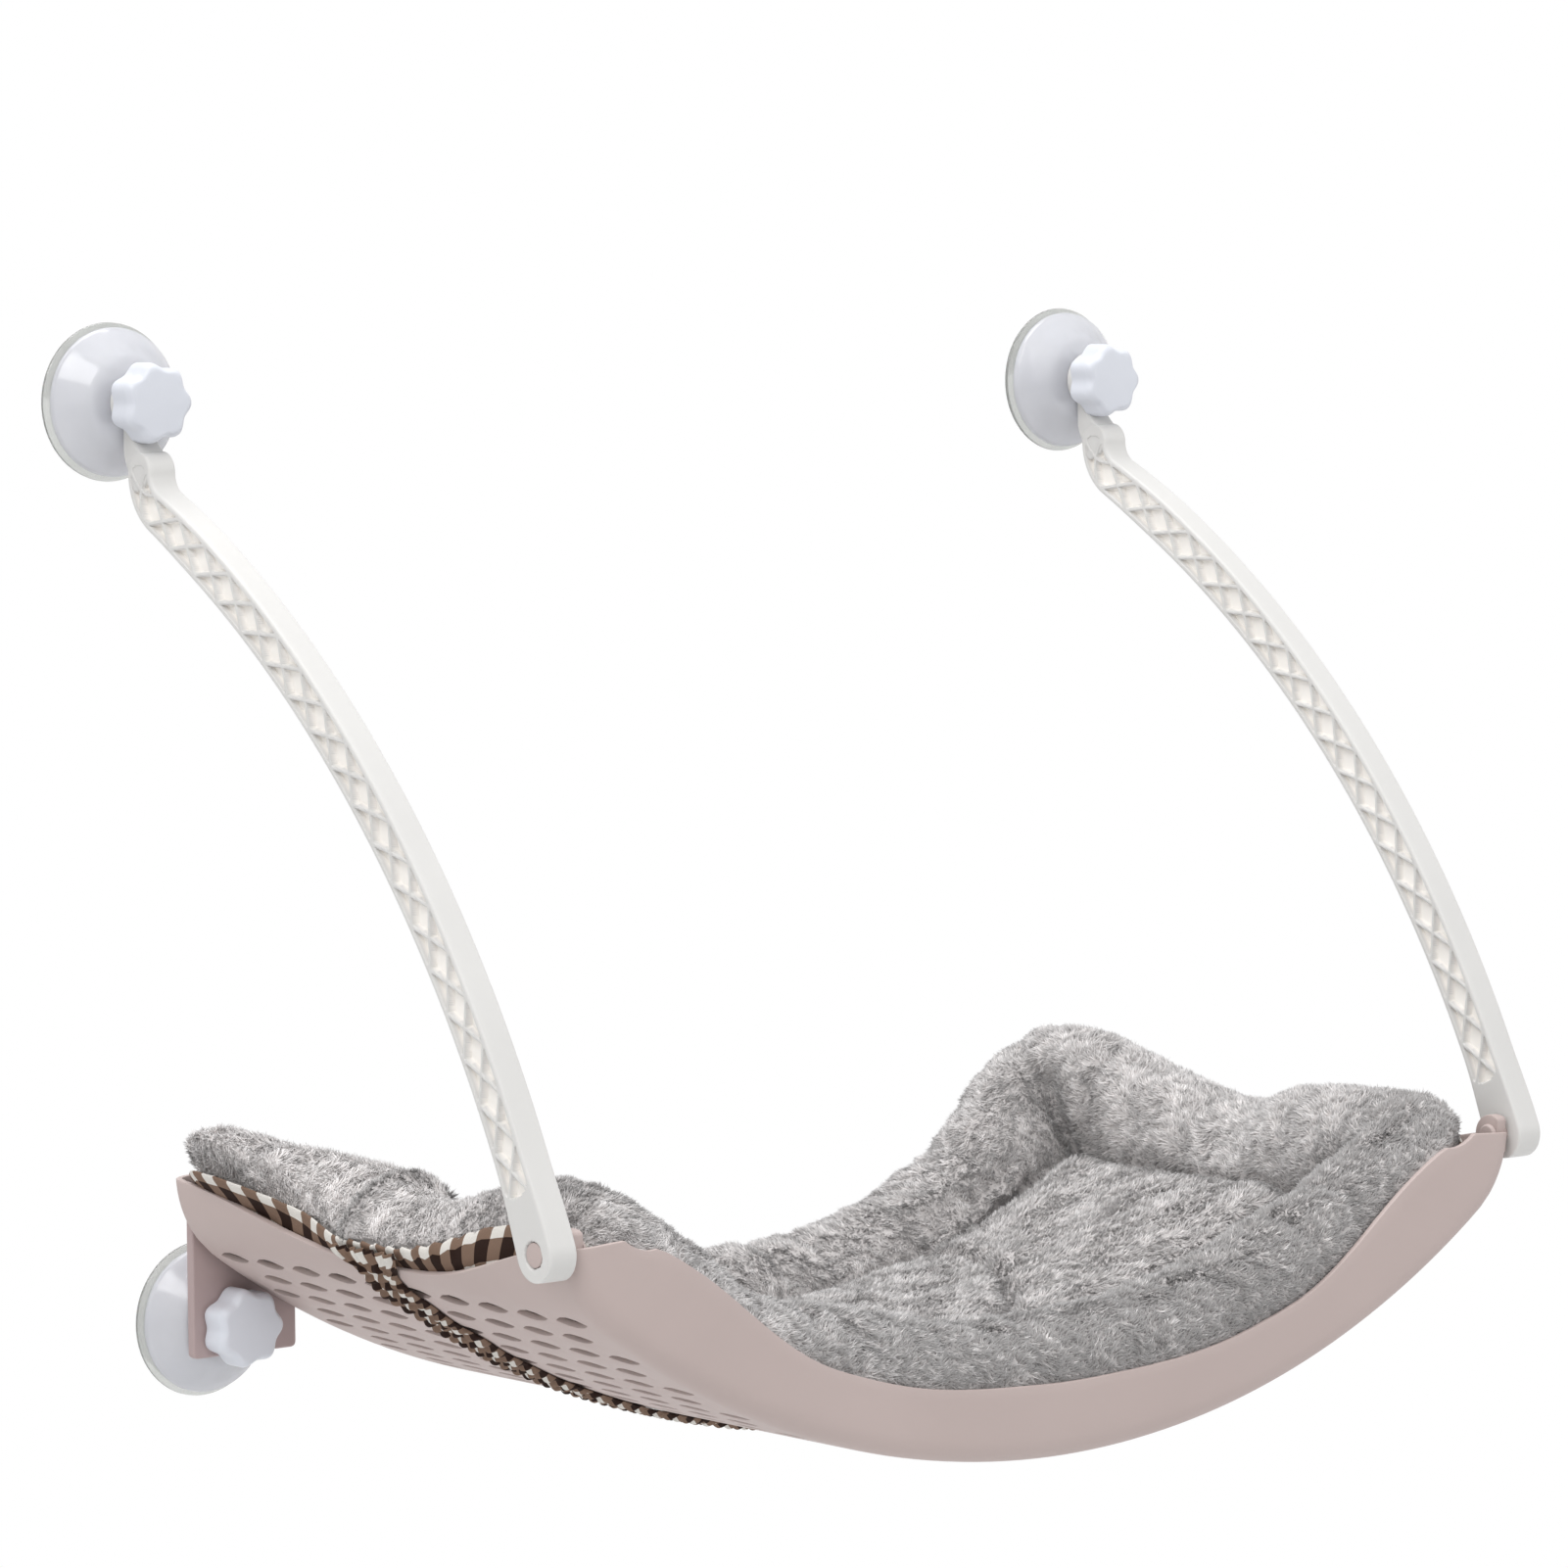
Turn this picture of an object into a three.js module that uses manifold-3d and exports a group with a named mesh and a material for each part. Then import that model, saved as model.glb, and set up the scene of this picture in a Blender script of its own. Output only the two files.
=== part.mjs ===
// A cat's window hammock: a curved moulded tray with a plush cushion, carried by two lower
// suction cups on brackets and two long arms that end in upper suction cups.
// Millimetres. +Z is up, +X is to the right, and the window pane is the plane Y = 0 with the
// room on its -Y side. Z = 0 is the height of the lower cups, X = 0 the middle of the tray.

import * as THREE from 'three';
import * as BufferGeometryUtils from 'three/addons/utils/BufferGeometryUtils.js';
import Module from 'manifold-3d';

const wasm = await Module();
wasm.setup();

// Clearances
const seatGap = 0.3;
const runningGap = 0.3;
const cutOverrun = 3;

// Tray
const trayHalfWidth = 280.5;
const trayFront = 330.5;
const floorDrop = 50.5;
const cornerCentreZ = 74;
const cornerRadius = 50;
const earHeight = 71;
const trayWall = 2.8;
const wallFillet = 10;
const wallHeight = 34.5;
const wallDip = 3;
const wallDipStart = 20;
const wallDipEnd = 110;
const earRise = 12.5;
const earRiseStart = 150;
const earRiseEnd = 250;
const earFall = 17;
const earFallStart = 255;
const sideRimHeight = 47;
const rimBackFlat = 10;
const rimFrontFlat = 30;

// Slots through the tray's floor
const slotLength = 22;
const slotWidth = 11;
const slotPitch = 31;
const slotEndMargin = 26;

// Boss that carries the arm's pivot, at the tray's front corners
const bossRadius = 9.5;
const bossDepth = 8;
const pivotHeight = 69.6;
const pivotRadius = 4;
const pivotHeadRadius = 5.4;
const pivotHeadDepth = 2.4;
const pivotBarbDepth = 2;

// Arms
const armWidth = 14.4;
const armWeb = 8;
const armRadius = 591;
const armFootAngle = THREE.MathUtils.degToRad(68.2);
const armNeckRadius = 20;
const armHeadSetback = 7.7;
const armHalfDepth = 10.3;
const armFootRadius = 12;
const armFootBlend = 42;
const armHeadRadius = 9;
const armFlange = 2.6;
const ribHalfWidth = 1.1;
const ribCells = 15;
const latticeFootMargin = 26;
const latticeHeadMargin = 6;

// Collar at the arm's top, clamped on the upper cup's stud
const collarRise = 31;
const collarRadius = 13.5;
const neckWidth = 13.6;
const neckDrop = 24;

// Suction cups, depths measured from the pane
const lowerCupInset = 35.5;
const cupRadius = 36;
const sealWidth = 6;
const lipEdge = 1.3;
const lipShoulder = 2.6;
const lipWidth = 2.4;
const membraneTop = 9.6;
const membraneTopRadius = 9.5;
const cavityTop = 5.6;
const cavityTopRadius = 11;
const coverRadius = 33.8;
const coverWall = 2.2;
const coverSkirt = 2.8;
const coverShoulder = 3.8;
const hubRadius = 10.5;
const hubFace = 21.4;
const hubDepth = 3.2;
const clampDepth = 5;
const studRadius = 3.9;
const studBaseRadius = 9.5;
const studBaseDepth = 2.4;
const studEndGap = 0.5;
const knobRadius = 18.5;
const knobLobeDepth = 2.4;
const knobLobes = 7;
const knobDepth = 16;
const knobBoreDepth = 12;

// Brackets under the tray's back wall
const bracketOuterReach = 22;
const bracketInnerReach = 35;
const bracketBelow = 14;
const bracketAbove = 52;
const bracketCorner = 3;
const screwRadius = 1.5;
const screwHeadRadius = 3.4;
const screwHeadDepth = 2;
const screwLength = 7;
const screwInset = 16;
const screwBelowTop = 8;

// Cushion, its heights measured up from the tray's curved floor
const cushionPastCorner = 28.6;
const cushionWallGap = 0.45;
const bolsterHalfWidth = 33;
const bolsterHeight = 56;
const bolsterCorner = 42;
const bolsterSquareness = 4;
const bolsterCornerRise = 9;
const bolsterStrapDip = 9;
const clothThickness = 2;
const clothLift = 0.7;
const clothSlack = 1;
const clothSkinStep = 0.25;
const padEdgeHeight = 32;
const padCrown = 16;
const padTuckUnder = 16.5;

// Elastic strap round the tray's underside
const strapWidth = 30;
const strapThickness = 1.6;
const strapOverRim = 9;

// Rounds are cut into this many flats, and half of the tray's floor into this many
const cupSides = 20;
const smallSides = 12;
const screwSides = 8;
const floorColumns = 7;

// Places worked out from the sizes
const clampFront = hubFace + seatGap;
const clampBack = clampFront + clampDepth;
const knobStart = clampBack + seatGap;
const trayBack = clampBack + seatGap;
const trayMiddle = -(trayFront + trayBack) / 2;
const trayHalfDepth = (trayFront - trayBack) / 2;
const cornerCentreX = trayHalfWidth - cornerRadius;
const cornerRise = cornerCentreZ + floorDrop;
const floorRadius = (cornerCentreX ** 2 + cornerRise ** 2 - cornerRadius ** 2)
  / (2 * (cornerRise - cornerRadius));
const floorCentreZ = floorRadius - floorDrop;
const cornerStart = Math.asin(cornerCentreX / (floorRadius - cornerRadius));
const cornerArc = floorRadius * cornerStart;
const cushionHalfLength = cornerArc + cushionPastCorner;
const cushionHalfDepth = trayHalfDepth - trayWall - cushionWallGap;
const floorStep = cornerArc / floorColumns;
const arcAtHeight = (height) => cornerArc + cornerRadius
  * (Math.PI / 2 - cornerStart - Math.asin((cornerCentreZ - height) / cornerRadius));
const arcEnd = arcAtHeight(earHeight);
const pivotY = -(trayFront - bossRadius);
const armInner = trayHalfWidth + runningGap;
const armMiddleX = armInner + armWidth / 2;
const lowerCupX = trayHalfWidth - lowerCupInset;

// Meshes and solids

function bare(geometry) {
  geometry.deleteAttribute('normal');
  geometry.deleteAttribute('uv');
  const merged = BufferGeometryUtils.mergeVertices(geometry, 1e-4);
  return outward(merged);
}

function signedVolume(geometry) {
  const position = geometry.attributes.position;
  const index = geometry.index.array;
  const a = new THREE.Vector3();
  const b = new THREE.Vector3();
  const c = new THREE.Vector3();
  let sum = 0;
  for (let i = 0; i < index.length; i += 3) {
    a.fromBufferAttribute(position, index[i]);
    b.fromBufferAttribute(position, index[i + 1]);
    c.fromBufferAttribute(position, index[i + 2]);
    sum += a.dot(b.cross(c));
  }
  return sum / 6;
}

function outward(geometry) {
  if (signedVolume(geometry) < 0) {
    const index = geometry.index.array;
    for (let i = 0; i < index.length; i += 3) {
      [index[i], index[i + 1]] = [index[i + 1], index[i]];
    }
  }
  return geometry;
}

function fromPoints(points, faces) {
  const geometry = new THREE.BufferGeometry();
  geometry.setFromPoints(points);
  geometry.setIndex(faces);
  return outward(geometry);
}

function toSolid(geometry) {
  return new wasm.Manifold(new wasm.Mesh({
    numProp: 3,
    vertProperties: new Float32Array(geometry.attributes.position.array),
    triVerts: new Uint32Array(geometry.index.array),
  }));
}

function toGeometry(solid) {
  const mesh = solid.getMesh();
  const geometry = new THREE.BufferGeometry();
  geometry.setAttribute('position', new THREE.BufferAttribute(mesh.vertProperties, 3));
  geometry.setIndex(new THREE.BufferAttribute(mesh.triVerts, 1));
  return geometry;
}

function cut(body, tools) {
  return toGeometry(tools.reduce((rest, tool) => rest.subtract(toSolid(tool)), toSolid(body)));
}

// The biggest of a solid's separate bodies, without the slivers a cut leaves
function biggest(geometry) {
  const bodies = toSolid(geometry).decompose();
  return toGeometry(bodies.reduce((best, next) => (next.volume() > best.volume() ? next : best)));
}

function join(geometries) {
  return toGeometry(geometries.map(toSolid).reduce((whole, next) => whole.add(next)));
}

// A closed sheet: surface(i, j, side) gives its two faces, side 0 and side 1
function sheet(columns, rows, surface) {
  const points = [];
  for (const side of [0, 1]) {
    for (let j = 0; j <= rows; j++) {
      for (let i = 0; i <= columns; i++) points.push(surface(i, j, side));
    }
  }
  const at = (i, j, side) => side * (rows + 1) * (columns + 1) + j * (columns + 1) + i;
  const faces = [];
  const quad = (a, b, c, d) => faces.push(a, b, c, a, c, d);
  for (let j = 0; j < rows; j++) {
    for (let i = 0; i < columns; i++) {
      quad(at(i, j, 0), at(i, j + 1, 0), at(i + 1, j + 1, 0), at(i + 1, j, 0));
      quad(at(i, j, 1), at(i + 1, j, 1), at(i + 1, j + 1, 1), at(i, j + 1, 1));
    }
  }
  for (let i = 0; i < columns; i++) {
    quad(at(i, 0, 0), at(i + 1, 0, 0), at(i + 1, 0, 1), at(i, 0, 1));
    quad(at(i, rows, 0), at(i, rows, 1), at(i + 1, rows, 1), at(i + 1, rows, 0));
  }
  for (let j = 0; j < rows; j++) {
    quad(at(0, j, 0), at(0, j, 1), at(0, j + 1, 1), at(0, j + 1, 0));
    quad(at(columns, j, 0), at(columns, j + 1, 0), at(columns, j + 1, 1), at(columns, j, 1));
  }
  return fromPoints(points, faces);
}

// A closed tube round a closed path: point(i, k) for path step i and section corner k
function ring(steps, corners, point) {
  const points = [];
  for (let i = 0; i < steps; i++) {
    for (let k = 0; k < corners; k++) points.push(point(i, k));
  }
  const at = (i, k) => (i % steps) * corners + (k % corners);
  const faces = [];
  for (let i = 0; i < steps; i++) {
    for (let k = 0; k < corners; k++) {
      faces.push(at(i, k), at(i + 1, k), at(i + 1, k + 1));
      faces.push(at(i, k), at(i + 1, k + 1), at(i, k + 1));
    }
  }
  return fromPoints(points, faces);
}

// Many separate prisms in one mesh: each is a pair of matching convex outlines
function prisms(pairs) {
  const parts = pairs.map(([low, high]) => {
    const n = low.length;
    const faces = [];
    for (let i = 0; i < n; i++) {
      const next = (i + 1) % n;
      faces.push(i, next, n + next, i, n + next, n + i);
    }
    for (let i = 1; i < n - 1; i++) {
      faces.push(0, i + 1, i);
      faces.push(n, n + i, n + i + 1);
    }
    return fromPoints([...low, ...high], faces);
  });
  return BufferGeometryUtils.mergeGeometries(parts);
}

const alongX = new THREE.Matrix4().makeBasis(
  new THREE.Vector3(0, 1, 0), new THREE.Vector3(0, 0, 1), new THREE.Vector3(1, 0, 0));
const intoRoom = new THREE.Matrix4().makeBasis(
  new THREE.Vector3(1, 0, 0), new THREE.Vector3(0, 0, 1), new THREE.Vector3(0, -1, 0));

function extrude(shape, depth, basis, curveSegments = smallSides / 2) {
  const geometry = new THREE.ExtrudeGeometry(shape, { depth, bevelEnabled: false, curveSegments });
  return bare(geometry.applyMatrix4(basis));
}

// An outline in Y and Z, extruded in X from x0 to x1
function slabX(shape, x0, x1) {
  return extrude(shape, x1 - x0, alongX).translate(x0, 0, 0);
}

// An outline in X and Z, extruded into the room between two depths from the pane
function slabY(shape, d0, d1) {
  return extrude(shape, d1 - d0, intoRoom).translate(0, -d0, 0);
}

function disc(u, v, radius, sides = smallSides) {
  const points = Array.from({ length: sides }, (_, i) => new THREE.Vector2(
    u + radius * Math.cos(2 * Math.PI * i / sides),
    v + radius * Math.sin(2 * Math.PI * i / sides)));
  return new THREE.Shape(points);
}

function polygon(pairs) {
  return new THREE.Shape(pairs.map(([u, v]) => new THREE.Vector2(u, v)));
}

// A turned piece round the cup's axis, from radius and depth pairs
function turned(profile, sides = cupSides) {
  const points = profile.map(([radius, depth]) => new THREE.Vector2(radius, -depth));
  return bare(new THREE.LatheGeometry(points, sides));
}

const smooth = (value, start, end) => THREE.MathUtils.smoothstep(value, start, end);
const mix = THREE.MathUtils.lerp;

// The tray's curved section: a point at arc length s from the middle, raised inwards by h
function onTray(s, h) {
  const side = Math.sign(s) || 1;
  const length = Math.abs(s);
  if (length <= cornerArc) {
    const angle = s / floorRadius;
    const radius = floorRadius - h;
    return [radius * Math.sin(angle), floorCentreZ - radius * Math.cos(angle)];
  }
  const angle = cornerStart + (length - cornerArc) / cornerRadius;
  const radius = cornerRadius - h;
  return [side * (cornerCentreX + radius * Math.sin(angle)),
    cornerCentreZ - radius * Math.cos(angle)];
}

// The cushion keeps to the floor's own arc all the way out
function onFloorArc(s, y, h) {
  const angle = s / floorRadius;
  const radius = floorRadius - h;
  return new THREE.Vector3(radius * Math.sin(angle), y, floorCentreZ - radius * Math.cos(angle));
}

function rimArc(y) {
  const off = Math.abs(y - trayMiddle);
  const flat = y > trayMiddle ? rimBackFlat : rimFrontFlat;
  return arcAtHeight(mix(sideRimHeight, earHeight, smooth(off, flat, trayHalfDepth)));
}

function endWallHeight(s) {
  const length = Math.abs(s);
  const fall = Math.max(length - earFallStart, 0) / (arcEnd - earFallStart);
  return wallHeight - wallDip * smooth(length, wallDipStart, wallDipEnd)
    + earRise * smooth(length, earRiseStart, earRiseEnd) - earFall * fall ** 2;
}

// Tray

function trayShell() {
  const cornerColumns = 4;
  const half = floorColumns + cornerColumns;
  const wallRows = 2;
  const filletRows = 3;
  const floorRowShares = [0, 0.08, 0.155, 0.225, 0.3, 0.5, 0.7, 0.775, 0.845, 0.92, 1];
  const endRows = wallRows + filletRows;
  const rows = 2 * endRows + floorRowShares.length - 1;

  // Place across an end wall: distance in from the wall's outer face, and height
  const endSection = (step, height, inset) => {
    if (step <= wallRows) return [inset, mix(height, wallFillet, step / wallRows)];
    const angle = (step - wallRows) / filletRows * Math.PI / 2;
    const radius = wallFillet - inset;
    return [wallFillet - radius * Math.cos(angle), wallFillet - radius * Math.sin(angle)];
  };

  return sheet(2 * half, rows, (i, j, side) => {
    const inset = side * trayWall;
    const column = Math.abs(i - half);
    const sign = Math.sign(i - half);
    const fromEnd = Math.min(j, rows - j);
    const front = j > rows / 2;
    const inFloor = fromEnd > endRows;
    const floorShare = inFloor ? floorRowShares[j - endRows] : 0;
    const floorY = mix(-trayBack - wallFillet, -trayFront + wallFillet, floorShare);
    const limit = inFloor ? rimArc(floorY) : arcEnd;
    const length = column <= floorColumns ? cornerArc * column / floorColumns
      : mix(cornerArc, limit, (column - floorColumns) / cornerColumns);
    const s = sign * length;
    const [across, h] = inFloor ? [0, inset] : endSection(fromEnd, endWallHeight(s), inset);
    const y = inFloor ? floorY : front ? across - trayFront : -trayBack - across;
    const [x, z] = onTray(s, h);
    return new THREE.Vector3(x, y, z);
  });
}

function slotCutters() {
  const reach = trayHalfDepth - slotEndMargin - slotLength / 2;
  const pairs = [];
  for (let row = -floorColumns; row < floorColumns; row++) {
    const s = (row + 0.5) * floorStep;
    const offset = (row % 2 === 0 ? 0 : slotPitch / 2);
    const span = Math.floor((reach - offset) / slotPitch);
    const backSpan = Math.floor((reach + offset) / slotPitch);
    for (let k = -backSpan; k <= span; k++) {
      const y = trayMiddle + offset + k * slotPitch;
      const outline = (h) => [[0, slotLength / 2], [slotWidth / 2, 0],
        [0, -slotLength / 2], [-slotWidth / 2, 0]].map(([ds, dy]) => {
        const [x, z] = onTray(s, h);
        const tilt = s / floorRadius;
        return new THREE.Vector3(x + ds * Math.cos(tilt), y + dy, z + ds * Math.sin(tilt));
      });
      pairs.push([outline(-cutOverrun), outline(trayWall + cutOverrun)]);
    }
  }
  return prisms(pairs);
}

// The hole for a sunk screw, wider than the screw by the seat gap all round
function screwSink([x, z]) {
  const face = trayBack + trayWall;
  const start = trayBack - cutOverrun;
  const cone = face - seatGap / 2;
  const shank = screwRadius + seatGap;
  const head = screwHeadRadius + seatGap;
  return turned([[0, start], [shank, start], [shank, cone - screwHeadDepth], [head, cone],
    [head, face + cutOverrun], [0, face + cutOverrun]], screwSides).translate(x, 0, z);
}

function screwPlaces(side) {
  const outer = lowerCupX + bracketOuterReach - screwInset;
  const inner = lowerCupX - bracketInnerReach + screwInset;
  return [outer, inner].map((x) => [side * x, bracketAbove - screwBelowTop]);
}

function makeTray() {
  const sides = [-1, 1];
  const boss = (side) => {
    const gusset = polygon([
      [pivotY - bossRadius, pivotHeight], [pivotY - bossRadius, pivotHeight - 2 * bossRadius],
      [pivotY + bossRadius / 2, pivotHeight - 2 * bossRadius], [pivotY + bossRadius, pivotHeight],
    ]);
    const x0 = Math.min(side * trayHalfWidth, side * (trayHalfWidth - bossDepth));
    const inset = trayWall / 4;
    return [slabX(disc(pivotY, pivotHeight, bossRadius, cupSides), x0, x0 + bossDepth),
      slabX(gusset, x0 + inset, x0 + bossDepth - 3 * inset)];
  };
  const body = join([trayShell(), ...sides.flatMap(boss)]);
  const pivotHole = slabX(disc(pivotY, pivotHeight, pivotRadius + runningGap),
    -trayHalfWidth - cutOverrun, trayHalfWidth + cutOverrun);
  return cut(body, [slotCutters(), pivotHole, ...sides.flatMap(screwPlaces).map(screwSink)]);
}

// Arms

const armCentre = [pivotY + armRadius * Math.sin(armFootAngle),
  pivotHeight - armRadius * Math.cos(armFootAngle)];
const headY = -clampBack - armHeadSetback;
const armNeckAngle = Math.asin((armCentre[0] - headY + armNeckRadius)
  / (armRadius + armNeckRadius));
const armBow = armRadius * (armFootAngle - armNeckAngle);
const armNeck = armNeckRadius * (Math.PI / 2 - armNeckAngle);
const neckCentre = [
  armCentre[0] - (armRadius + armNeckRadius) * Math.sin(armNeckAngle),
  armCentre[1] + (armRadius + armNeckRadius) * Math.cos(armNeckAngle)];
const headZ = neckCentre[1];
const upperCupHeight = headZ + collarRise;

// A point beside the arm's middle line, at a length up from the pivot and off to the front
function besideArm(length, off) {
  if (length <= armBow) {
    const angle = armFootAngle - length / armRadius;
    const radius = armRadius + off;
    return [armCentre[0] - radius * Math.sin(angle), armCentre[1] + radius * Math.cos(angle)];
  }
  const angle = armNeckAngle + (length - armBow) / armNeckRadius;
  const radius = armNeckRadius - off;
  return [neckCentre[0] + radius * Math.sin(angle), neckCentre[1] - radius * Math.cos(angle)];
}

function armOutline() {
  const bowSteps = 12;
  const neckSteps = 4;
  const roundSteps = 8;
  const lengths = [];
  for (let i = 0; i <= bowSteps; i++) lengths.push(armBow * i / bowSteps);
  for (let i = 1; i <= neckSteps; i++) lengths.push(armBow + armNeck * i / neckSteps);
  const half = (length) => {
    const foot = mix(armFootRadius, armHalfDepth, smooth(length, 0, armFootBlend));
    return mix(foot, armHeadRadius, smooth(length, armBow - armFootBlend, armBow + armNeck));
  };
  const points = [];
  for (const length of lengths) points.push(besideArm(length, -half(length)));
  for (let i = 1; i < roundSteps; i++) {
    const angle = Math.PI * i / roundSteps;
    points.push([headY + armHeadRadius * Math.cos(angle), headZ + armHeadRadius * Math.sin(angle)]);
  }
  for (const length of lengths.reverse()) points.push(besideArm(length, half(length)));
  for (let i = 1; i < roundSteps; i++) {
    const angle = armFootAngle + Math.PI / 2 + Math.PI * i / roundSteps;
    points.push([pivotY + armFootRadius * Math.cos(angle),
      pivotHeight + armFootRadius * Math.sin(angle)]);
  }
  return points;
}

function latticeOutlines() {
  const start = latticeFootMargin;
  const pitch = (armBow - latticeHeadMargin - start) / ribCells;
  const reach = armHalfDepth - armFlange;
  const slant = Math.hypot(pitch, 2 * reach);
  const alongRib = ribHalfWidth * slant / (2 * reach);
  const acrossRib = ribHalfWidth * slant / pitch;
  const outlines = [];
  for (let cell = 0; cell < ribCells; cell++) {
    const low = start + cell * pitch;
    const high = low + pitch;
    const middle = (low + high) / 2;
    for (const side of [-1, 1]) {
      outlines.push([[low + 2 * alongRib, side * reach], [high - 2 * alongRib, side * reach],
        [middle, side * acrossRib]]);
    }
    if (cell > 0) {
      outlines.push([[low, reach - acrossRib], [low + pitch / 2 - alongRib, 0],
        [low, acrossRib - reach], [low - pitch / 2 + alongRib, 0]]);
    }
  }
  return outlines;
}

// The collar round the stud and the neck that carries it, standing clear of the knob
function collarPieces(x) {
  const z = upperCupHeight;
  const underKnob = z - knobRadius - seatGap;
  const collar = slabY(disc(x, z, collarRadius, cupSides), clampFront, clampBack);
  const half = neckWidth / 2;
  const neck = slabX(polygon([[-clampFront, z], [-clampFront, z - neckDrop],
    [headY + armHeadRadius / 2, headZ - armHeadRadius], [headY, headZ + armHeadRadius / 2],
    [-clampBack, underKnob], [-clampBack, z]]), x - half, x + half);
  return [collar, neck];
}

function makeArm(side) {
  const x0 = Math.min(side * armInner, side * (armInner + armWidth));
  const x1 = x0 + armWidth;
  const middle = (x0 + x1) / 2;
  const body = join([slabX(polygon(armOutline()), x0, x1), ...collarPieces(middle)]);
  const face = (outline, x) => outline.map(([length, off]) => {
    const [y, z] = besideArm(length, off);
    return new THREE.Vector3(x, y, z);
  });
  const pockets = latticeOutlines().flatMap((outline) => [
    [face(outline, x0 - cutOverrun), face(outline, middle - armWeb / 2)],
    [face(outline, middle + armWeb / 2), face(outline, x1 + cutOverrun)]]);
  const bore = slabY(disc(middle, upperCupHeight, studRadius + runningGap),
    clampFront - cutOverrun, clampBack + cutOverrun);
  const pivotHole = slabX(disc(pivotY, pivotHeight, pivotRadius + runningGap),
    x0 - cutOverrun, x1 + cutOverrun);
  const headDepth = pivotHeadDepth + 2 * seatGap;
  const outerFace = side * (armInner + armWidth);
  const sinkStart = Math.min(outerFace + side * cutOverrun, outerFace - side * headDepth);
  const headSink = slabX(disc(pivotY, pivotHeight, pivotHeadRadius + runningGap),
    sinkStart, sinkStart + headDepth + cutOverrun);
  return cut(body, [prisms(pockets), bore, pivotHole, headSink]);
}

function makePivotPin(side) {
  const reach = [armInner + armWidth - seatGap, trayHalfWidth - bossDepth - seatGap];
  const headInner = reach[0] - pivotHeadDepth;
  const pieces = [
    [pivotHeadRadius, headInner, reach[0]],
    [pivotRadius, reach[1] - pivotBarbDepth / 2, headInner + pivotHeadDepth / 2],
    [pivotHeadRadius, reach[1] - pivotBarbDepth, reach[1]],
  ];
  return join(pieces.map(([radius, inner, outer]) => {
    const ends = [side * inner, side * outer].sort((a, b) => a - b);
    return slabX(disc(pivotY, pivotHeight, radius), ...ends);
  }));
}

// Suction cups

function makeMembrane() {
  const bore = studRadius + runningGap;
  return turned([
    [cupRadius, 0], [cupRadius, lipEdge], [cupRadius - lipWidth, lipShoulder],
    [membraneTopRadius, membraneTop], [bore, membraneTop], [bore, cavityTop],
    [cavityTopRadius, cavityTop], [cupRadius - sealWidth, 0], [cupRadius, 0],
  ]);
}

function makeCover() {
  const bore = studRadius + runningGap;
  const inner = coverRadius - coverWall;
  const slope = (membraneTop - lipShoulder) / (cupRadius - lipWidth - membraneTopRadius);
  const rim = lipShoulder + slope * (cupRadius - lipWidth - inner) + seatGap;
  const shoulder = rim + coverSkirt + coverShoulder;
  const domeRunShare = 0.5;
  const domeRiseShare = 0.78;
  const domeRadius = mix(hubRadius, coverRadius - coverShoulder, domeRunShare);
  const domeDepth = mix(shoulder, hubFace, domeRiseShare);
  return turned([
    [coverRadius, rim], [coverRadius, rim + coverSkirt], [coverRadius - coverShoulder, shoulder],
    [domeRadius, domeDepth], [hubRadius, hubFace], [bore, hubFace], [bore, hubFace - hubDepth],
    [domeRadius, domeDepth - coverWall], [inner - coverShoulder, shoulder - coverWall],
    [inner, rim], [coverRadius, rim],
  ]);
}

function makeStud() {
  const baseTop = cavityTop - seatGap;
  const end = knobStart + knobBoreDepth - studEndGap;
  const chamfer = studRadius / 6;
  return turned([
    [0, baseTop - studBaseDepth], [studBaseRadius, baseTop - studBaseDepth],
    [studBaseRadius, baseTop], [studRadius, baseTop], [studRadius, end - chamfer],
    [studRadius - chamfer, end], [0, end],
  ], smallSides);
}

function makeKnob() {
  const pointsPerLobe = 5;
  const count = knobLobes * pointsPerLobe;
  const outline = Array.from({ length: count }, (_, i) => {
    const angle = 2 * Math.PI * i / count;
    const radius = knobRadius - knobLobeDepth / 2 * (1 - Math.cos(knobLobes * angle));
    return [radius * Math.cos(angle), radius * Math.sin(angle)];
  });
  const body = slabY(polygon(outline), knobStart, knobStart + knobDepth);
  const bore = slabY(disc(0, 0, studRadius + runningGap), knobStart - cutOverrun,
    knobStart + knobBoreDepth);
  return cut(body, [bore]);
}

// Brackets

function makeBracket(side) {
  const outer = lowerCupX + bracketOuterReach;
  const inner = lowerCupX - bracketInnerReach;
  const round = bracketCorner;
  const shape = new THREE.Shape();
  shape.moveTo(inner, bracketAbove);
  shape.lineTo(inner, round - bracketBelow);
  shape.absarc(inner + round, round - bracketBelow, round, Math.PI, 1.5 * Math.PI);
  shape.absarc(outer - round, round - bracketBelow, round, 1.5 * Math.PI, 2 * Math.PI);
  shape.lineTo(outer, bracketAbove);
  const hole = (x, z, radius) => slabY(disc(x, z, radius + runningGap),
    clampFront - cutOverrun, clampBack + cutOverrun);
  const solid = cut(slabY(shape, clampFront, clampBack), [hole(lowerCupX, 0, studRadius),
    ...screwPlaces(1).map(([x, z]) => hole(x, z, screwRadius))]);
  return side > 0 ? solid : outward(solid.scale(-1, 1, 1));
}

function makeScrew([x, z]) {
  const face = trayBack + trayWall;
  const end = face - screwLength;
  return turned([[0, end], [screwRadius, end], [screwRadius, face - screwHeadDepth],
    [screwHeadRadius, face], [0, face]], screwSides).translate(x, 0, z);
}

// Cushion

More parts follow.
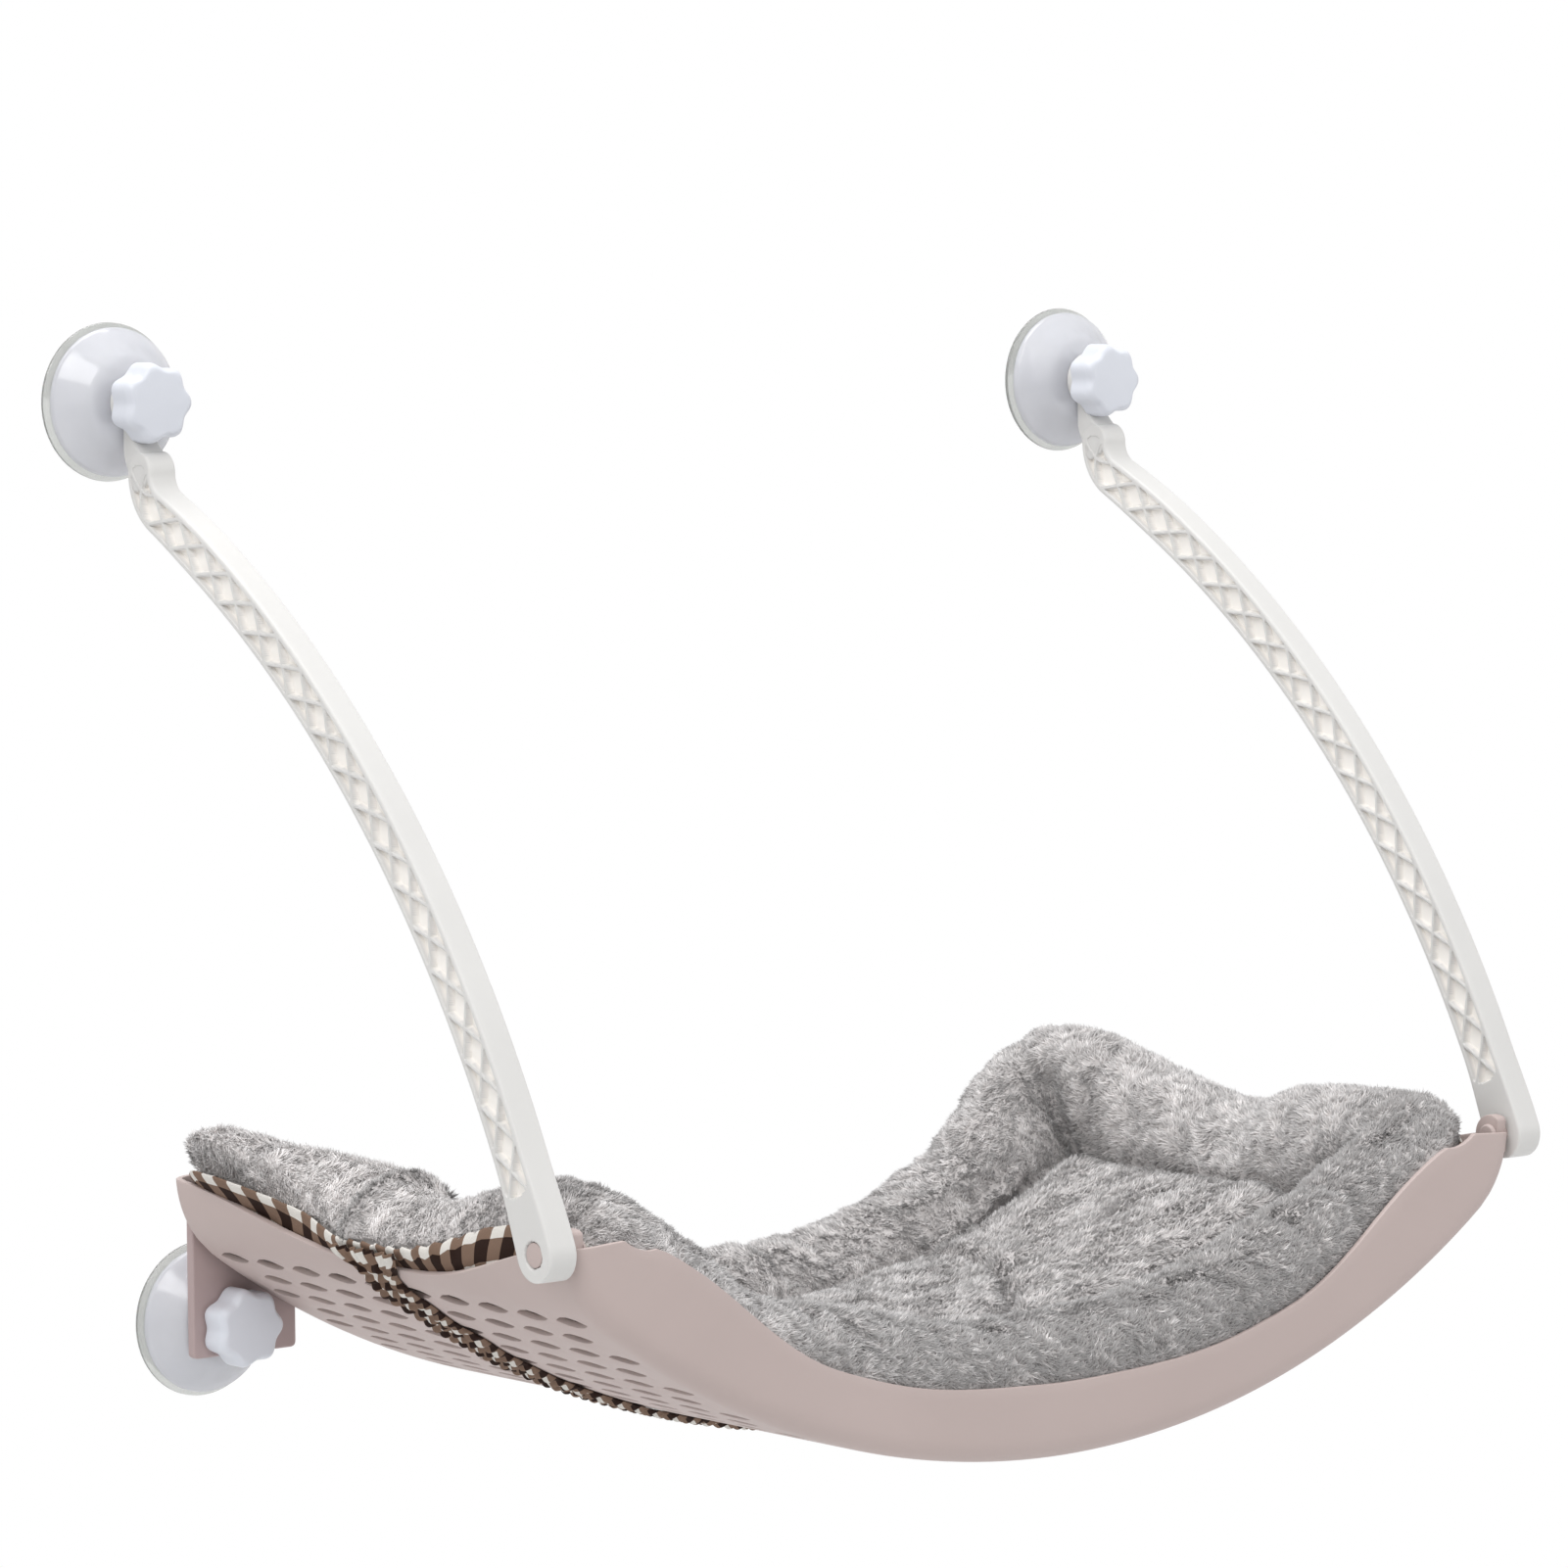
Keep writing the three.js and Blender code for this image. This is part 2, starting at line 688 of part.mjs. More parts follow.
// Corners of the bolster's section, as shares of its half width outwards and of its height. The
// first ones, up to the seam, lie on the cloth.
const bolsterSectionShares = [
  [-0.62, 0], [0.28, 0], [0.6, 0.06], [0.84, 0.22], [0.9, 0.44], [1, 0.52], [0.96, 0.74],
  [0.7, 0.93], [0.28, 1], [-0.2, 0.97], [-0.66, 0.8], [-0.96, 0.5], [-0.92, 0.16],
];
const clothCorners = 5;
const clothBottom = trayWall + clothLift;
const bolsterFoot = clothBottom + clothThickness + seatGap;

// Steps round the bolster's rounded path: place, outward direction and how far its outer half
// is stretched
function bolsterPath() {
  const halfLength = cushionHalfLength - bolsterHalfWidth;
  const halfDepth = cushionHalfDepth - bolsterHalfWidth;
  const along = floorLines(halfLength - bolsterCorner);
  const depthSteps = 4;
  const cornerSteps = 4;
  const path = [];
  // The outer side keeps to a squarer corner: the superellipse that spans the round one
  const reach = bolsterCorner + bolsterHalfWidth;
  const square = ([x, y]) => reach
    * (Math.abs(x) ** bolsterSquareness + Math.abs(y) ** bolsterSquareness) ** (-1 / bolsterSquareness);
  const corners = [[1, 1], [-1, 1], [-1, -1], [1, -1]];
  corners.forEach(([sx, sy], quarter) => {
    const centre = [sx * (halfLength - bolsterCorner), sy * (halfDepth - bolsterCorner)];
    for (let i = 0; i <= cornerSteps; i++) {
      const angle = (quarter + i / cornerSteps) * Math.PI / 2;
      const out = [Math.cos(angle), Math.sin(angle)];
      const stretch = (square(out) - bolsterCorner) / bolsterHalfWidth;
      path.push({ place: centre.map((c, k) => c + bolsterCorner * out[k]), out, stretch });
    }
    const [nx, ny] = corners[(quarter + 1) % corners.length];
    const { place: from, out } = path[path.length - 1];
    if (sx === nx) {
      for (let i = 1; i < depthSteps; i++) {
        const run = (ny - sy) * (halfDepth - bolsterCorner) * i / depthSteps;
        path.push({ place: [from[0], from[1] + run], out, stretch: 1 });
      }
    } else {
      for (const s of along.slice(1, -1)) path.push({ place: [nx * s, from[1]], out, stretch: 1 });
    }
  });
  return path;
}

// Extra height of the bolster's crown: full at the corners, held down by the strap. The shares
// are of the cushion's half length and half depth.
const cornerLengthShares = [0.55, 0.85];
const cornerDepthShares = [0.3, 0.75];
const strapLengthShares = [0.8, 0.88];
const strapDepthShare = 0.3;

function crownChange([s, y]) {
  const alongShare = Math.abs(s) / cushionHalfLength;
  const acrossShare = Math.abs(y) / cushionHalfDepth;
  const corner = smooth(alongShare, ...cornerLengthShares)
    * smooth(acrossShare, ...cornerDepthShares);
  const strap = smooth(alongShare, ...strapLengthShares)
    * (1 - smooth(acrossShare, 0, strapDepthShare));
  return bolsterCornerRise * corner - bolsterStrapDip * strap;
}

function bolsterCorners(step, grow) {
  const seam = bolsterSectionShares[clothCorners - 1][1];
  const crown = bolsterHeight + crownChange(step.place);
  const flat = bolsterSectionShares.map(([across, up]) => {
    const rise = up <= seam ? up * bolsterHeight
      : mix(seam * bolsterHeight, crown, (up - seam) / (1 - seam));
    const stretch = across > 0 ? step.stretch : 1;
    return [across * bolsterHalfWidth * stretch, bolsterFoot + rise];
  });
  return offsetOutline(flat, grow);
}

// Moves each corner of a closed outline out along the bisector of its two edges
function offsetOutline(outline, grow) {
  const n = outline.length;
  return outline.map(([u, v], i) => {
    const [pu, pv] = outline[(i + n - 1) % n];
    const [nu, nv] = outline[(i + 1) % n];
    const du = nu - pu;
    const dv = nv - pv;
    const length = Math.hypot(du, dv);
    return [u + grow * dv / length, v - grow * du / length];
  });
}

function placeCorner(step, [across, up]) {
  return onFloorArc(step.place[0] + across * step.out[0],
    trayMiddle + step.place[1] + across * step.out[1], up);
}

function bolsterRing(grow) {
  const path = bolsterPath();
  const sections = path.map((step) => bolsterCorners(step, grow));
  return ring(path.length, bolsterSectionShares.length,
    (i, k) => placeCorner(path[i], sections[i][k]));
}

// Evenly spaced lines across the floor, so that stacked sheets bend at the same places
function floorLines(reach) {
  const whole = Math.ceil(reach / floorStep) - 1;
  const lines = [-reach];
  for (let k = -whole; k <= whole; k++) lines.push(k * floorStep);
  lines.push(reach);
  return lines;
}

// The pad and the cloth under it end beneath the bolster
const innerLength = cushionHalfLength - bolsterHalfWidth - padTuckUnder;
const innerDepth = cushionHalfDepth - bolsterHalfWidth - padTuckUnder;

function makePad() {
  const lines = floorLines(innerLength);
  const rows = 8;
  const block = sheet(lines.length - 1, rows, (i, j, side) => {
    const y = mix(-innerDepth, innerDepth, j / rows);
    const dome = (1 - (lines[i] / innerLength) ** 4) * (1 - (y / innerDepth) ** 4);
    const top = padEdgeHeight + padCrown * dome;
    return onFloorArc(lines[i], trayMiddle + y, side === 0 ? bolsterFoot : bolsterFoot + top);
  });
  return biggest(cut(block, [bolsterRing(seatGap)]));
}

function makeCloth() {
  const path = bolsterPath();
  const band = path.map((step) => {
    const inner = bolsterCorners(step, clothSlack).slice(0, clothCorners);
    const outer = bolsterCorners(step, seatGap + clothThickness).slice(0, clothCorners);
    return [...outer, ...inner.reverse()];
  });
  const wall = ring(path.length, 2 * clothCorners, (i, k) => placeCorner(path[i], band[i][k]));
  const lines = floorLines(innerLength);
  const floor = sheet(lines.length - 1, 1, (i, j, side) => onFloorArc(lines[i],
    trayMiddle + mix(-innerDepth, innerDepth, j),
    side === 0 ? clothBottom + clothSkinStep : clothBottom + clothThickness - clothSkinStep));
  return join([wall, floor]);
}

// Strap

function makeStrap() {
  const cornerSteps = 3;
  const overSteps = 2;
  const rim = arcAtHeight(sideRimHeight);
  const half = [];
  for (let i = 0; i <= floorColumns; i++) half.push(floorStep * i);
  for (let i = 1; i <= cornerSteps; i++) half.push(mix(cornerArc, rim, i / cornerSteps));
  for (let i = 1; i <= overSteps; i++) half.push(rim + strapOverRim * i / overSteps);
  const lines = [...half.slice(1).reverse().map((s) => -s), ...half];
  return sheet(lines.length - 1, 1, (i, j, side) => {
    const [x, z] = onTray(lines[i], -seatGap - side * strapThickness);
    return new THREE.Vector3(x, trayMiddle + (j - 0.5) * strapWidth, z);
  });
}

// Materials

const finish = (color, roughness, options = {}) => new THREE.MeshStandardMaterial(
  { color, roughness, metalness: 0, ...options });
const trayPlastic = () => finish(0xbcaca8, 0.55);
const armPlastic = () => finish(0xe9e6e0, 0.5);
const knobPlastic = () => finish(0xdadee6, 0.4);
const coverPlastic = () => finish(0xd8dadd, 0.25);
const clearRubber = () => finish(0xc9cec6, 0.15, { transparent: true, opacity: 0.5 });
const steel = () => finish(0xb0b0b2, 0.35, { metalness: 0.9 });
const plush = () => finish(0x97938f, 0.95);
const gingham = () => finish(0xa08c7c, 0.9);

// Assembly

const hammock = new THREE.Group();

function place(group, name, geometry, material) {
  const mesh = new THREE.Mesh(geometry, material);
  mesh.name = name;
  group.add(mesh);
}

function addCup(name, x, z) {
  const cup = new THREE.Group();
  cup.position.set(x, 0, z);
  place(cup, `${name}_cup_membrane`, makeMembrane(), clearRubber());
  place(cup, `${name}_cup_cover`, makeCover(), coverPlastic());
  place(cup, `${name}_cup_stud`, makeStud(), steel());
  place(cup, `${name}_cup_knob`, makeKnob(), knobPlastic());
  hammock.add(cup);
}

place(hammock, 'tray', makeTray(), trayPlastic());
for (const [name, side] of [['left', -1], ['right', 1]]) {
  place(hammock, `${name}_wall_bracket`, makeBracket(side), trayPlastic());
  const [outerScrew, innerScrew] = screwPlaces(side);
  place(hammock, `${name}_bracket_screw_outer`, makeScrew(outerScrew), steel());
  place(hammock, `${name}_bracket_screw_inner`, makeScrew(innerScrew), steel());
  place(hammock, `${name}_arm`, makeArm(side), armPlastic());
  place(hammock, `${name}_pivot_pin`, makePivotPin(side), trayPlastic());
  addCup(`upper_${name}`, side * armMiddleX, upperCupHeight);
  addCup(`lower_${name}`, side * lowerCupX, 0);
}
place(hammock, 'cushion_cloth_base', makeCloth(), gingham());
place(hammock, 'cushion_bolster', bolsterRing(0), plush());
place(hammock, 'cushion_pad', makePad(), plush());
place(hammock, 'elastic_strap', makeStrap(), gingham());

export default hammock;
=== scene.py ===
"""A cat's window hammock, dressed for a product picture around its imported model.

The row frame is in metres: the pane is the plane Y = 0, the room is on its -Y side, +Z is up,
and X = 0 is the middle of the tray. Sizes in the classes below are in millimetres, and the
mesh builders turn them into metres.
"""

from __future__ import annotations

import logging
import math
from dataclasses import dataclass
from enum import Enum
from functools import cache
from typing import Sequence

import bmesh
import bpy
import numpy as np
from mathutils import Matrix, Vector

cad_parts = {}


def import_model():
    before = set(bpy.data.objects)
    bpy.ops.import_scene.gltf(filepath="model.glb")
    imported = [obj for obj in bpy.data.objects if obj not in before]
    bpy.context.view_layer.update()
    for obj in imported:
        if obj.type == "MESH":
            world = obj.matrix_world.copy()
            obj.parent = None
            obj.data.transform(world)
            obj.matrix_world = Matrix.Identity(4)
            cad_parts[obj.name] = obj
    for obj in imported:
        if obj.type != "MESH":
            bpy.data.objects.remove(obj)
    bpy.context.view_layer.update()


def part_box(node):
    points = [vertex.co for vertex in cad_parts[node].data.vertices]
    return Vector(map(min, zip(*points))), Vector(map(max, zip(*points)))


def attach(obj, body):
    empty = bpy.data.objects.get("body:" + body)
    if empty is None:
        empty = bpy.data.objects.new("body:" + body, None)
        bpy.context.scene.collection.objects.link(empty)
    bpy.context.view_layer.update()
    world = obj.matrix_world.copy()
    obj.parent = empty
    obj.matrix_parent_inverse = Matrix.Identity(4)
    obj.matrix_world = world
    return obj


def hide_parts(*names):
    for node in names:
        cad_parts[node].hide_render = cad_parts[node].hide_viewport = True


logging.basicConfig(level=logging.INFO, format="%(message)s")
LOG = logging.getLogger("hammock")

MM = 0.001
TINY = 1e-9
PALEST = 1.3

Array = np.ndarray
Colour = tuple[float, float, float]


class Side(Enum):
    """Left and right, as seen from the room."""

    LEFT = -1
    RIGHT = 1

    @property
    def word(self) -> str:
        """The side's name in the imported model."""
        return self.name.lower()


class Level(Enum):
    """The two heights at which suction cups hold the pane."""

    UPPER = "upper"
    LOWER = "lower"


def smoothstep(x: Array, low: float, high: float) -> Array:
    """Rises from 0 at low to 1 at high along 3t^2 - 2t^3.

    Args:
        x: Where it is read.
        low: Start of the rise.
        high: End of the rise.

    Returns:
        The rise at each x.
    """
    t = np.clip((np.asarray(x, float) - low) / (high - low), 0.0, 1.0)
    return t * t * (3.0 - 2.0 * t)


def mix(a: Array, b: Array, share: Array) -> Array:
    """Goes straight from a to b as share goes from 0 to 1."""
    return a + (np.asarray(b) - a) * share


def catmull_rom(points: Array, count: int) -> Array:
    """Samples a smooth closed curve through some points.

    Each stretch between two points is the Catmull-Rom cubic of its four neighbours.

    Args:
        points: The points, one a row.
        count: How many samples each stretch gets.

    Returns:
        The samples, one a row.
    """
    before, here, after, beyond = (np.roll(points, k, axis=0)[:, None] for k in (1, 0, -1, -2))
    t = (np.arange(count) / count)[None, :, None]
    cubic = 0.5 * (2.0 * here + (after - before) * t + (2.0 * before - 5.0 * here + 4.0 * after - beyond) * t**2
                   + (3.0 * here - before - 3.0 * after + beyond) * t**3)
    return cubic.reshape(-1, points.shape[1])


def waves(place: Array, length: float, seed: int, count: int = 5) -> Array:
    """Smooth seeded noise: a mean of sine waves that run in random directions.

    Args:
        place: Points, one a row.
        length: The waves' mean length, in the points' unit.
        seed: What the directions and phases are drawn from.
        count: How many waves are summed.

    Returns:
        A value from about -1 to 1 at each point.
    """
    rng = np.random.default_rng(seed)
    direction = unit(rng.normal(size=(count, place.shape[-1])))
    direction *= rng.uniform(0.7, 1.4, (count, 1)) * 2.0 * math.pi / length
    phase = rng.uniform(0.0, 2.0 * math.pi, count)
    return np.sin(place @ direction.T + phase).mean(axis=-1) * math.sqrt(2.0)


def fillet(outline: Sequence[tuple[float, float]], radius: float, steps: int = 4) -> Array:
    """Rounds every corner of an open outline except its two ends.

    Each corner becomes a quadratic curve from a point before it to a point past it.

    Args:
        outline: The outline's corners.
        radius: How far the curve starts from the corner, at most 0.45 of the shorter edge.
        steps: Intervals in each curve.

    Returns:
        The rounded outline's points.
    """
    points = np.asarray(outline, float)
    rows = [points[:1]]
    t = np.linspace(0.0, 1.0, steps + 1)[:, None]
    for before, corner, after in zip(points, points[1:], points[2:]):
        to_before = before - corner
        to_after = after - corner
        lengths = np.linalg.norm(to_before), np.linalg.norm(to_after)
        reach = min(radius, 0.45 * min(lengths))
        start = corner + to_before / lengths[0] * reach
        end = corner + to_after / lengths[1] * reach
        rows.append((1 - t) ** 2 * start + 2 * t * (1 - t) * corner + t**2 * end)
    rows.append(points[-1:])
    return np.concatenate(rows)


def grid_quads(rows: int, columns: int, wrap_rows: bool = False, wrap_columns: bool = False) -> Array:
    """Joins a grid of points into quads.

    Args:
        rows: Points down the grid.
        columns: Points across it.
        wrap_rows: Whether the last row joins the first.
        wrap_columns: Whether the last column joins the first.

    Returns:
        Four point numbers for each quad, in the order of growing row, then column.
    """
    i = np.arange(rows if wrap_rows else rows - 1)[:, None]
    j = np.arange(columns if wrap_columns else columns - 1)[None, :]
    next_i = (i + 1) % rows
    next_j = (j + 1) % columns
    corners = (i * columns + j, i * columns + next_j, next_i * columns + next_j, next_i * columns + j)
    return np.stack([np.broadcast_to(c, (i.size, j.size)) for c in corners], axis=-1).reshape(-1, 4)


def stacked(x: Array, y: Array, z: Array) -> Array:
    """Points from three coordinates, each spread to the shape that all three fit."""
    return np.stack(np.broadcast_arrays(x, y, z), axis=-1)


def unit(vectors: Array) -> Array:
    """Vectors brought to a length of one."""
    return vectors / np.maximum(np.linalg.norm(vectors, axis=-1, keepdims=True), TINY)


def box_mm(node: str) -> tuple[Array, Array]:
    """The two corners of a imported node's box, in millimetres."""
    low, high = (np.array(corner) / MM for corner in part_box(node))
    return low, high


@dataclass
class Skin:
    """Points and faces on their way to becoming one piece, with the points in millimetres."""

    points: Array
    faces: list[Array]

    @staticmethod
    def grid(surface: Array, wrap_rows: bool = False, wrap_columns: bool = False) -> Skin:
        """The skin of a grid of points, rows by columns by three."""
        rows, columns, _ = surface.shape
        return Skin(surface.reshape(-1, 3), [grid_quads(rows, columns, wrap_rows, wrap_columns)])

    def piece(self, name: str, weld: float = 0.01, crease: float | None = 40.0,
              outward: bool = True) -> bpy.types.Object:
        """Makes the Blender object.

        Args:
            name: The object's name.
            weld: Points nearer than this, in millimetres, are merged. Zero merges none.
            crease: Edges sharper than this many degrees stay sharp. None smooths them all.
            outward: Whether the faces are turned to point out.

        Returns:
            The new object, at the origin, linked to the scene.
        """
        mesh = bpy.data.meshes.new(name)
        mesh.from_pydata((self.points * MM).tolist(), [], [row for block in self.faces for row in block.tolist()])
        work = bmesh.new()
        work.from_mesh(mesh)
        if weld > 0.0:
            bmesh.ops.remove_doubles(work, verts=work.verts, dist=weld * MM)
            bmesh.ops.dissolve_degenerate(work, edges=work.edges, dist=weld * MM / 2.0)
        if outward:
            bmesh.ops.recalc_face_normals(work, faces=work.faces)
        work.to_mesh(mesh)
        work.free()
        mesh.polygons.foreach_set("use_smooth", np.ones(len(mesh.polygons), bool))
        if crease is not None:
            mesh.set_sharp_from_angle(angle=math.radians(crease))
        piece = bpy.data.objects.new(name, mesh)
        bpy.context.scene.collection.objects.link(piece)
        return piece


def give_values(piece: bpy.types.Object, name: str, values: Array) -> None:
    """Gives each point of a piece a value of a new attribute."""
    attribute = piece.data.attributes.new(name, "FLOAT", "POINT")
    attribute.data.foreach_set("value", values.astype(np.float32))


def bake_modifiers(piece: bpy.types.Object) -> None:
    """Turns a piece's modifiers into plain mesh.

    Args:
        piece: What is changed.
    """
    shown = piece.evaluated_get(bpy.context.evaluated_depsgraph_get())
    mesh = bpy.data.meshes.new_from_object(shown)
    piece.modifiers.clear()
    old = piece.data
    piece.data = mesh
    bpy.data.meshes.remove(old)


def bevel(piece: bpy.types.Object, width: float, segments: int = 2, angle: float = 40.0) -> None:
    """Rounds a piece's sharp edges.

    Args:
        piece: What is rounded.
        width: The bevel's width, in millimetres.
        segments: Steps round the edge.
        angle: Edges sharper than this many degrees are rounded.
    """
    modifier = piece.modifiers.new("rounded edges", "BEVEL")
    modifier.width = width * MM
    modifier.segments = segments
    modifier.limit_method = "ANGLE"
    modifier.angle_limit = math.radians(angle)
    modifier.harden_normals = False
    bake_modifiers(piece)


def thicken(piece: bpy.types.Object, thickness: float) -> None:
    """Gives a sheet its thickness, in millimetres, half of it to each side.

    Args:
        piece: The sheet.
        thickness: Its new thickness, in millimetres.
    """
    modifier = piece.modifiers.new("cloth thickness", "SOLIDIFY")
    modifier.thickness = thickness * MM
    modifier.offset = 0.0
    bake_modifiers(piece)


def united(pieces: Sequence[bpy.types.Object], crease: float = 40.0) -> bpy.types.Object:
    """Makes one body of pieces that pass into each other.

    Args:
        pieces: The pieces: the first stays and the others are used up.
        crease: Edges sharper than this many degrees stay sharp.

    Returns:
        The first piece.
    """
    whole, *others = pieces
    for other in others:
        modifier = whole.modifiers.new("union", "BOOLEAN")
        modifier.operation = "UNION"
        modifier.solver = "EXACT"
        modifier.object = other
    bake_modifiers(whole)
    for other in others:
        bpy.data.objects.remove(other)
    whole.data.set_sharp_from_angle(angle=math.radians(crease))
    return whole


def lathe(radius: Array, depth: Array, x: float, z: float, segments: int) -> Skin:
    """A skin round a cup's axis: each row of radii goes once round it, at its own depth.

    Args:
        radius: Rows by one, or rows by segments where the radius changes round the axis.
        depth: Each row's depth from the pane.
        x: Where the axis is across the tray.
        z: The axis's height.
        segments: Steps round the circle.

    Returns:
        The skin.
    """
    angle = np.arange(segments) * 2.0 * math.pi / segments
    surface = stacked(x + radius * np.cos(angle), -depth[:, None], z + radius * np.sin(angle))
    return Skin.grid(surface, wrap_columns=True)


def turned(profile: Array, x: float, z: float, segments: int = 96) -> Skin:
    """A lathed skin from a profile of radii and depths."""
    return lathe(profile[:, :1], profile[:, 1], x, z, segments)


def slab(outline: Array, low: float, high: float, along: int) -> Skin:
    """A flat plate: an outline given in two axes, carried along the third.

    Args:
        outline: The outline's points in the other two axes, in X, Y, Z order.
        low: Where the plate starts.
        high: Where it ends.
        along: The axis that it is carried along, 0 for X or 1 for Y.

    Returns:
        The closed skin.
    """
    count = len(outline)
    rows = [np.insert(outline, along, level, axis=1) for level in (low, high)]
    caps = np.arange(count)[None, :]
    return Skin(np.concatenate(rows), [grid_quads(2, count, wrap_columns=True), caps[:, ::-1], caps + count])


@dataclass(frozen=True)
class Shader:
    """Adds nodes to one node tree and wires them."""

    tree: bpy.types.NodeTree

    def feed(self, node: bpy.types.Node, inputs: dict[str | int, object]) -> None:
        """Gives each named input of a node a value, or another node's socket.

        Args:
            node: The node.
            inputs: A value, or another node's socket, for each input socket.
        """
        for name, value in inputs.items():
            if isinstance(value, bpy.types.NodeSocket):
                self.tree.links.new(value, node.inputs[name])
            else:
                node.inputs[name].default_value = value

    def add(self, kind: str, inputs: dict[str | int, object] | None = None,
            **settings: object) -> bpy.types.Node:
        """Adds a node.

        Args:
            kind: The node's type name without its ShaderNode prefix, or a full name.
            inputs: A value, or another node's socket, for each input socket.
            settings: Values for the node's own properties.

        Returns:
            The new node.
        """
        node = self.tree.nodes.new(kind if kind.startswith("NodeGroup") else f"ShaderNode{kind}")
        for name, value in settings.items():
            setattr(node, name, value)
        self.feed(node, inputs or {})
        return node

    def ramp(self, value: bpy.types.NodeSocket, *stops: tuple[float, Colour]) -> bpy.types.NodeSocket:
        """Turns a value into a colour.

        Args:
            value: The socket that is read.
            stops: Positions and linear colours, in rising order.

        Returns:
            The colour socket.
        """
        node = self.add("ValToRGB", {"Fac": value})
        elements = node.color_ramp.elements
        while len(elements) < len(stops):
            elements.new(0.5)
        for element, (position, colour) in zip(elements, stops):
            element.position = position
            element.color = (*colour, 1.0)
        return node.outputs["Color"]

    def place(self) -> bpy.types.NodeSocket:
        """Adds a Texture Coordinate node and returns the piece's own coordinates."""
        return self.add("TexCoord").outputs["Object"]

    def attribute(self, name: str) -> bpy.types.NodeSocket:
        """Adds an Attribute node and returns its value."""
        return self.add("Attribute", attribute_name=name).outputs["Fac"]

    def noise(self, place: object, scale: object, detail: float = 2.0, bend: float = 0.0) -> bpy.types.NodeSocket:
        """Adds a Noise Texture node and returns its value."""
        inputs = {"Vector": place, "Scale": scale, "Detail": detail, "Distortion": bend}
        return self.add("TexNoise", inputs).outputs["Fac"]

    def spread(self, value: object, low: float, high: float, start: float = 0.0,
               end: float = 1.0) -> bpy.types.NodeSocket:
        """Takes a value from the range of start to end to that of low to high."""
        inputs = {"Value": value, "From Min": start, "From Max": end, "To Min": low, "To Max": high}
        return self.add("MapRange", inputs).outputs["Result"]

    def bump(self, height: object, strength: object, distance: float) -> bpy.types.NodeSocket:
        """Adds a Bump node and returns its normal."""
        return self.add("Bump", {"Height": height, "Strength": strength, "Distance": distance}).outputs["Normal"]

    def math(self, operation: str, a: object, b: object = 0.0) -> bpy.types.NodeSocket:
        """Adds a Math node and returns its result."""
        return self.add("Math", {0: a, 1: b}, operation=operation).outputs[0]

    def blend(self, share: object, a: object, b: object, mode: str = "MIX") -> bpy.types.NodeSocket:
        """Adds a colour Mix node and returns its result.

        Args:
            share: How far from a to b.
            a: The first colour.
            b: The second colour.
            mode: Blender's name for how the two are blended.

        Returns:
            The colour socket.
        """
        node = self.add("Mix", data_type="RGBA", blend_type=mode)
        sockets = {s.name: k for k, s in enumerate(node.inputs) if s.enabled}
        self.feed(node, {sockets["Factor"]: share, sockets["A"]: a, sockets["B"]: b})
        return next(s for s in node.outputs if s.enabled)


def srgb(red: float, green: float, blue: float) -> Colour:
    """Turns a screen colour of 0 to 255 into a linear one.

    Args:
        red: Its red, 0 to 255.
        green: Its green.
        blue: Its blue.

    Returns:
        The linear colour.
    """
    values = np.array([red, green, blue]) / 255.0
    linear = np.where(values <= 0.04045, values / 12.92, ((values + 0.055) / 1.055) ** 2.4)
    return tuple(float(v) for v in linear)


def new_group(name: str, inputs: dict[str, tuple[str, object]],
              outputs: dict[str, str]) -> tuple[Shader, bpy.types.Node, bpy.types.Node]:
    """Starts a shader node group.

    Args:
        name: The group's name.
        inputs: Socket type and default value for each input.
        outputs: Socket type for each output.

    Returns:
        A shader on the group's tree, its input node and its output node.
    """
    tree = bpy.data.node_groups.new(name, "ShaderNodeTree")
    for label, (kind, value) in inputs.items():
        socket = tree.interface.new_socket(label, in_out="INPUT", socket_type=f"NodeSocket{kind}")
        socket.default_value = value
    for label, kind in outputs.items():
        tree.interface.new_socket(label, in_out="OUTPUT", socket_type=f"NodeSocket{kind}")
    shader = Shader(tree)
    return shader, shader.add("NodeGroupInput"), shader.add("NodeGroupOutput")


@cache
def moulded_group() -> bpy.types.NodeTree:
    """The look of moulded plastic: a fine leathery grain, faint flow marks and handled patches.

    Returns:
        A group with Colour, Roughness, Grain and Depth in and Colour, Roughness and Normal out.
    """
    shader, group_in, group_out = new_group(
        "moulded plastic",
        {"Colour": ("Color", (0.5, 0.5, 0.5, 1.0)), "Roughness": ("Float", 0.5),
         "Grain": ("Float", 900.0), "Depth": ("Float", 0.12)},
        {"Colour": "Color", "Roughness": "Float", "Normal": "Vector"})
    given = group_in.outputs
    place = shader.place()
    grain = shader.noise(place, given["Grain"], 3.0)
    flow = shader.spread(shader.noise(place, 9.0, 4.0, 0.6), 0.965, 1.02, 0.3, 0.7)
    patches = shader.spread(shader.noise(place, 34.0, 6.0), -0.05, 0.06, 0.3, 0.7)
    shader.feed(group_out, {
        "Colour": shader.blend(1.0, given["Colour"], flow, "MULTIPLY"),
        "Roughness": shader.math("ADD", given["Roughness"], patches),
        "Normal": shader.bump(grain, given["Depth"], 0.0004)})
    return shader.tree


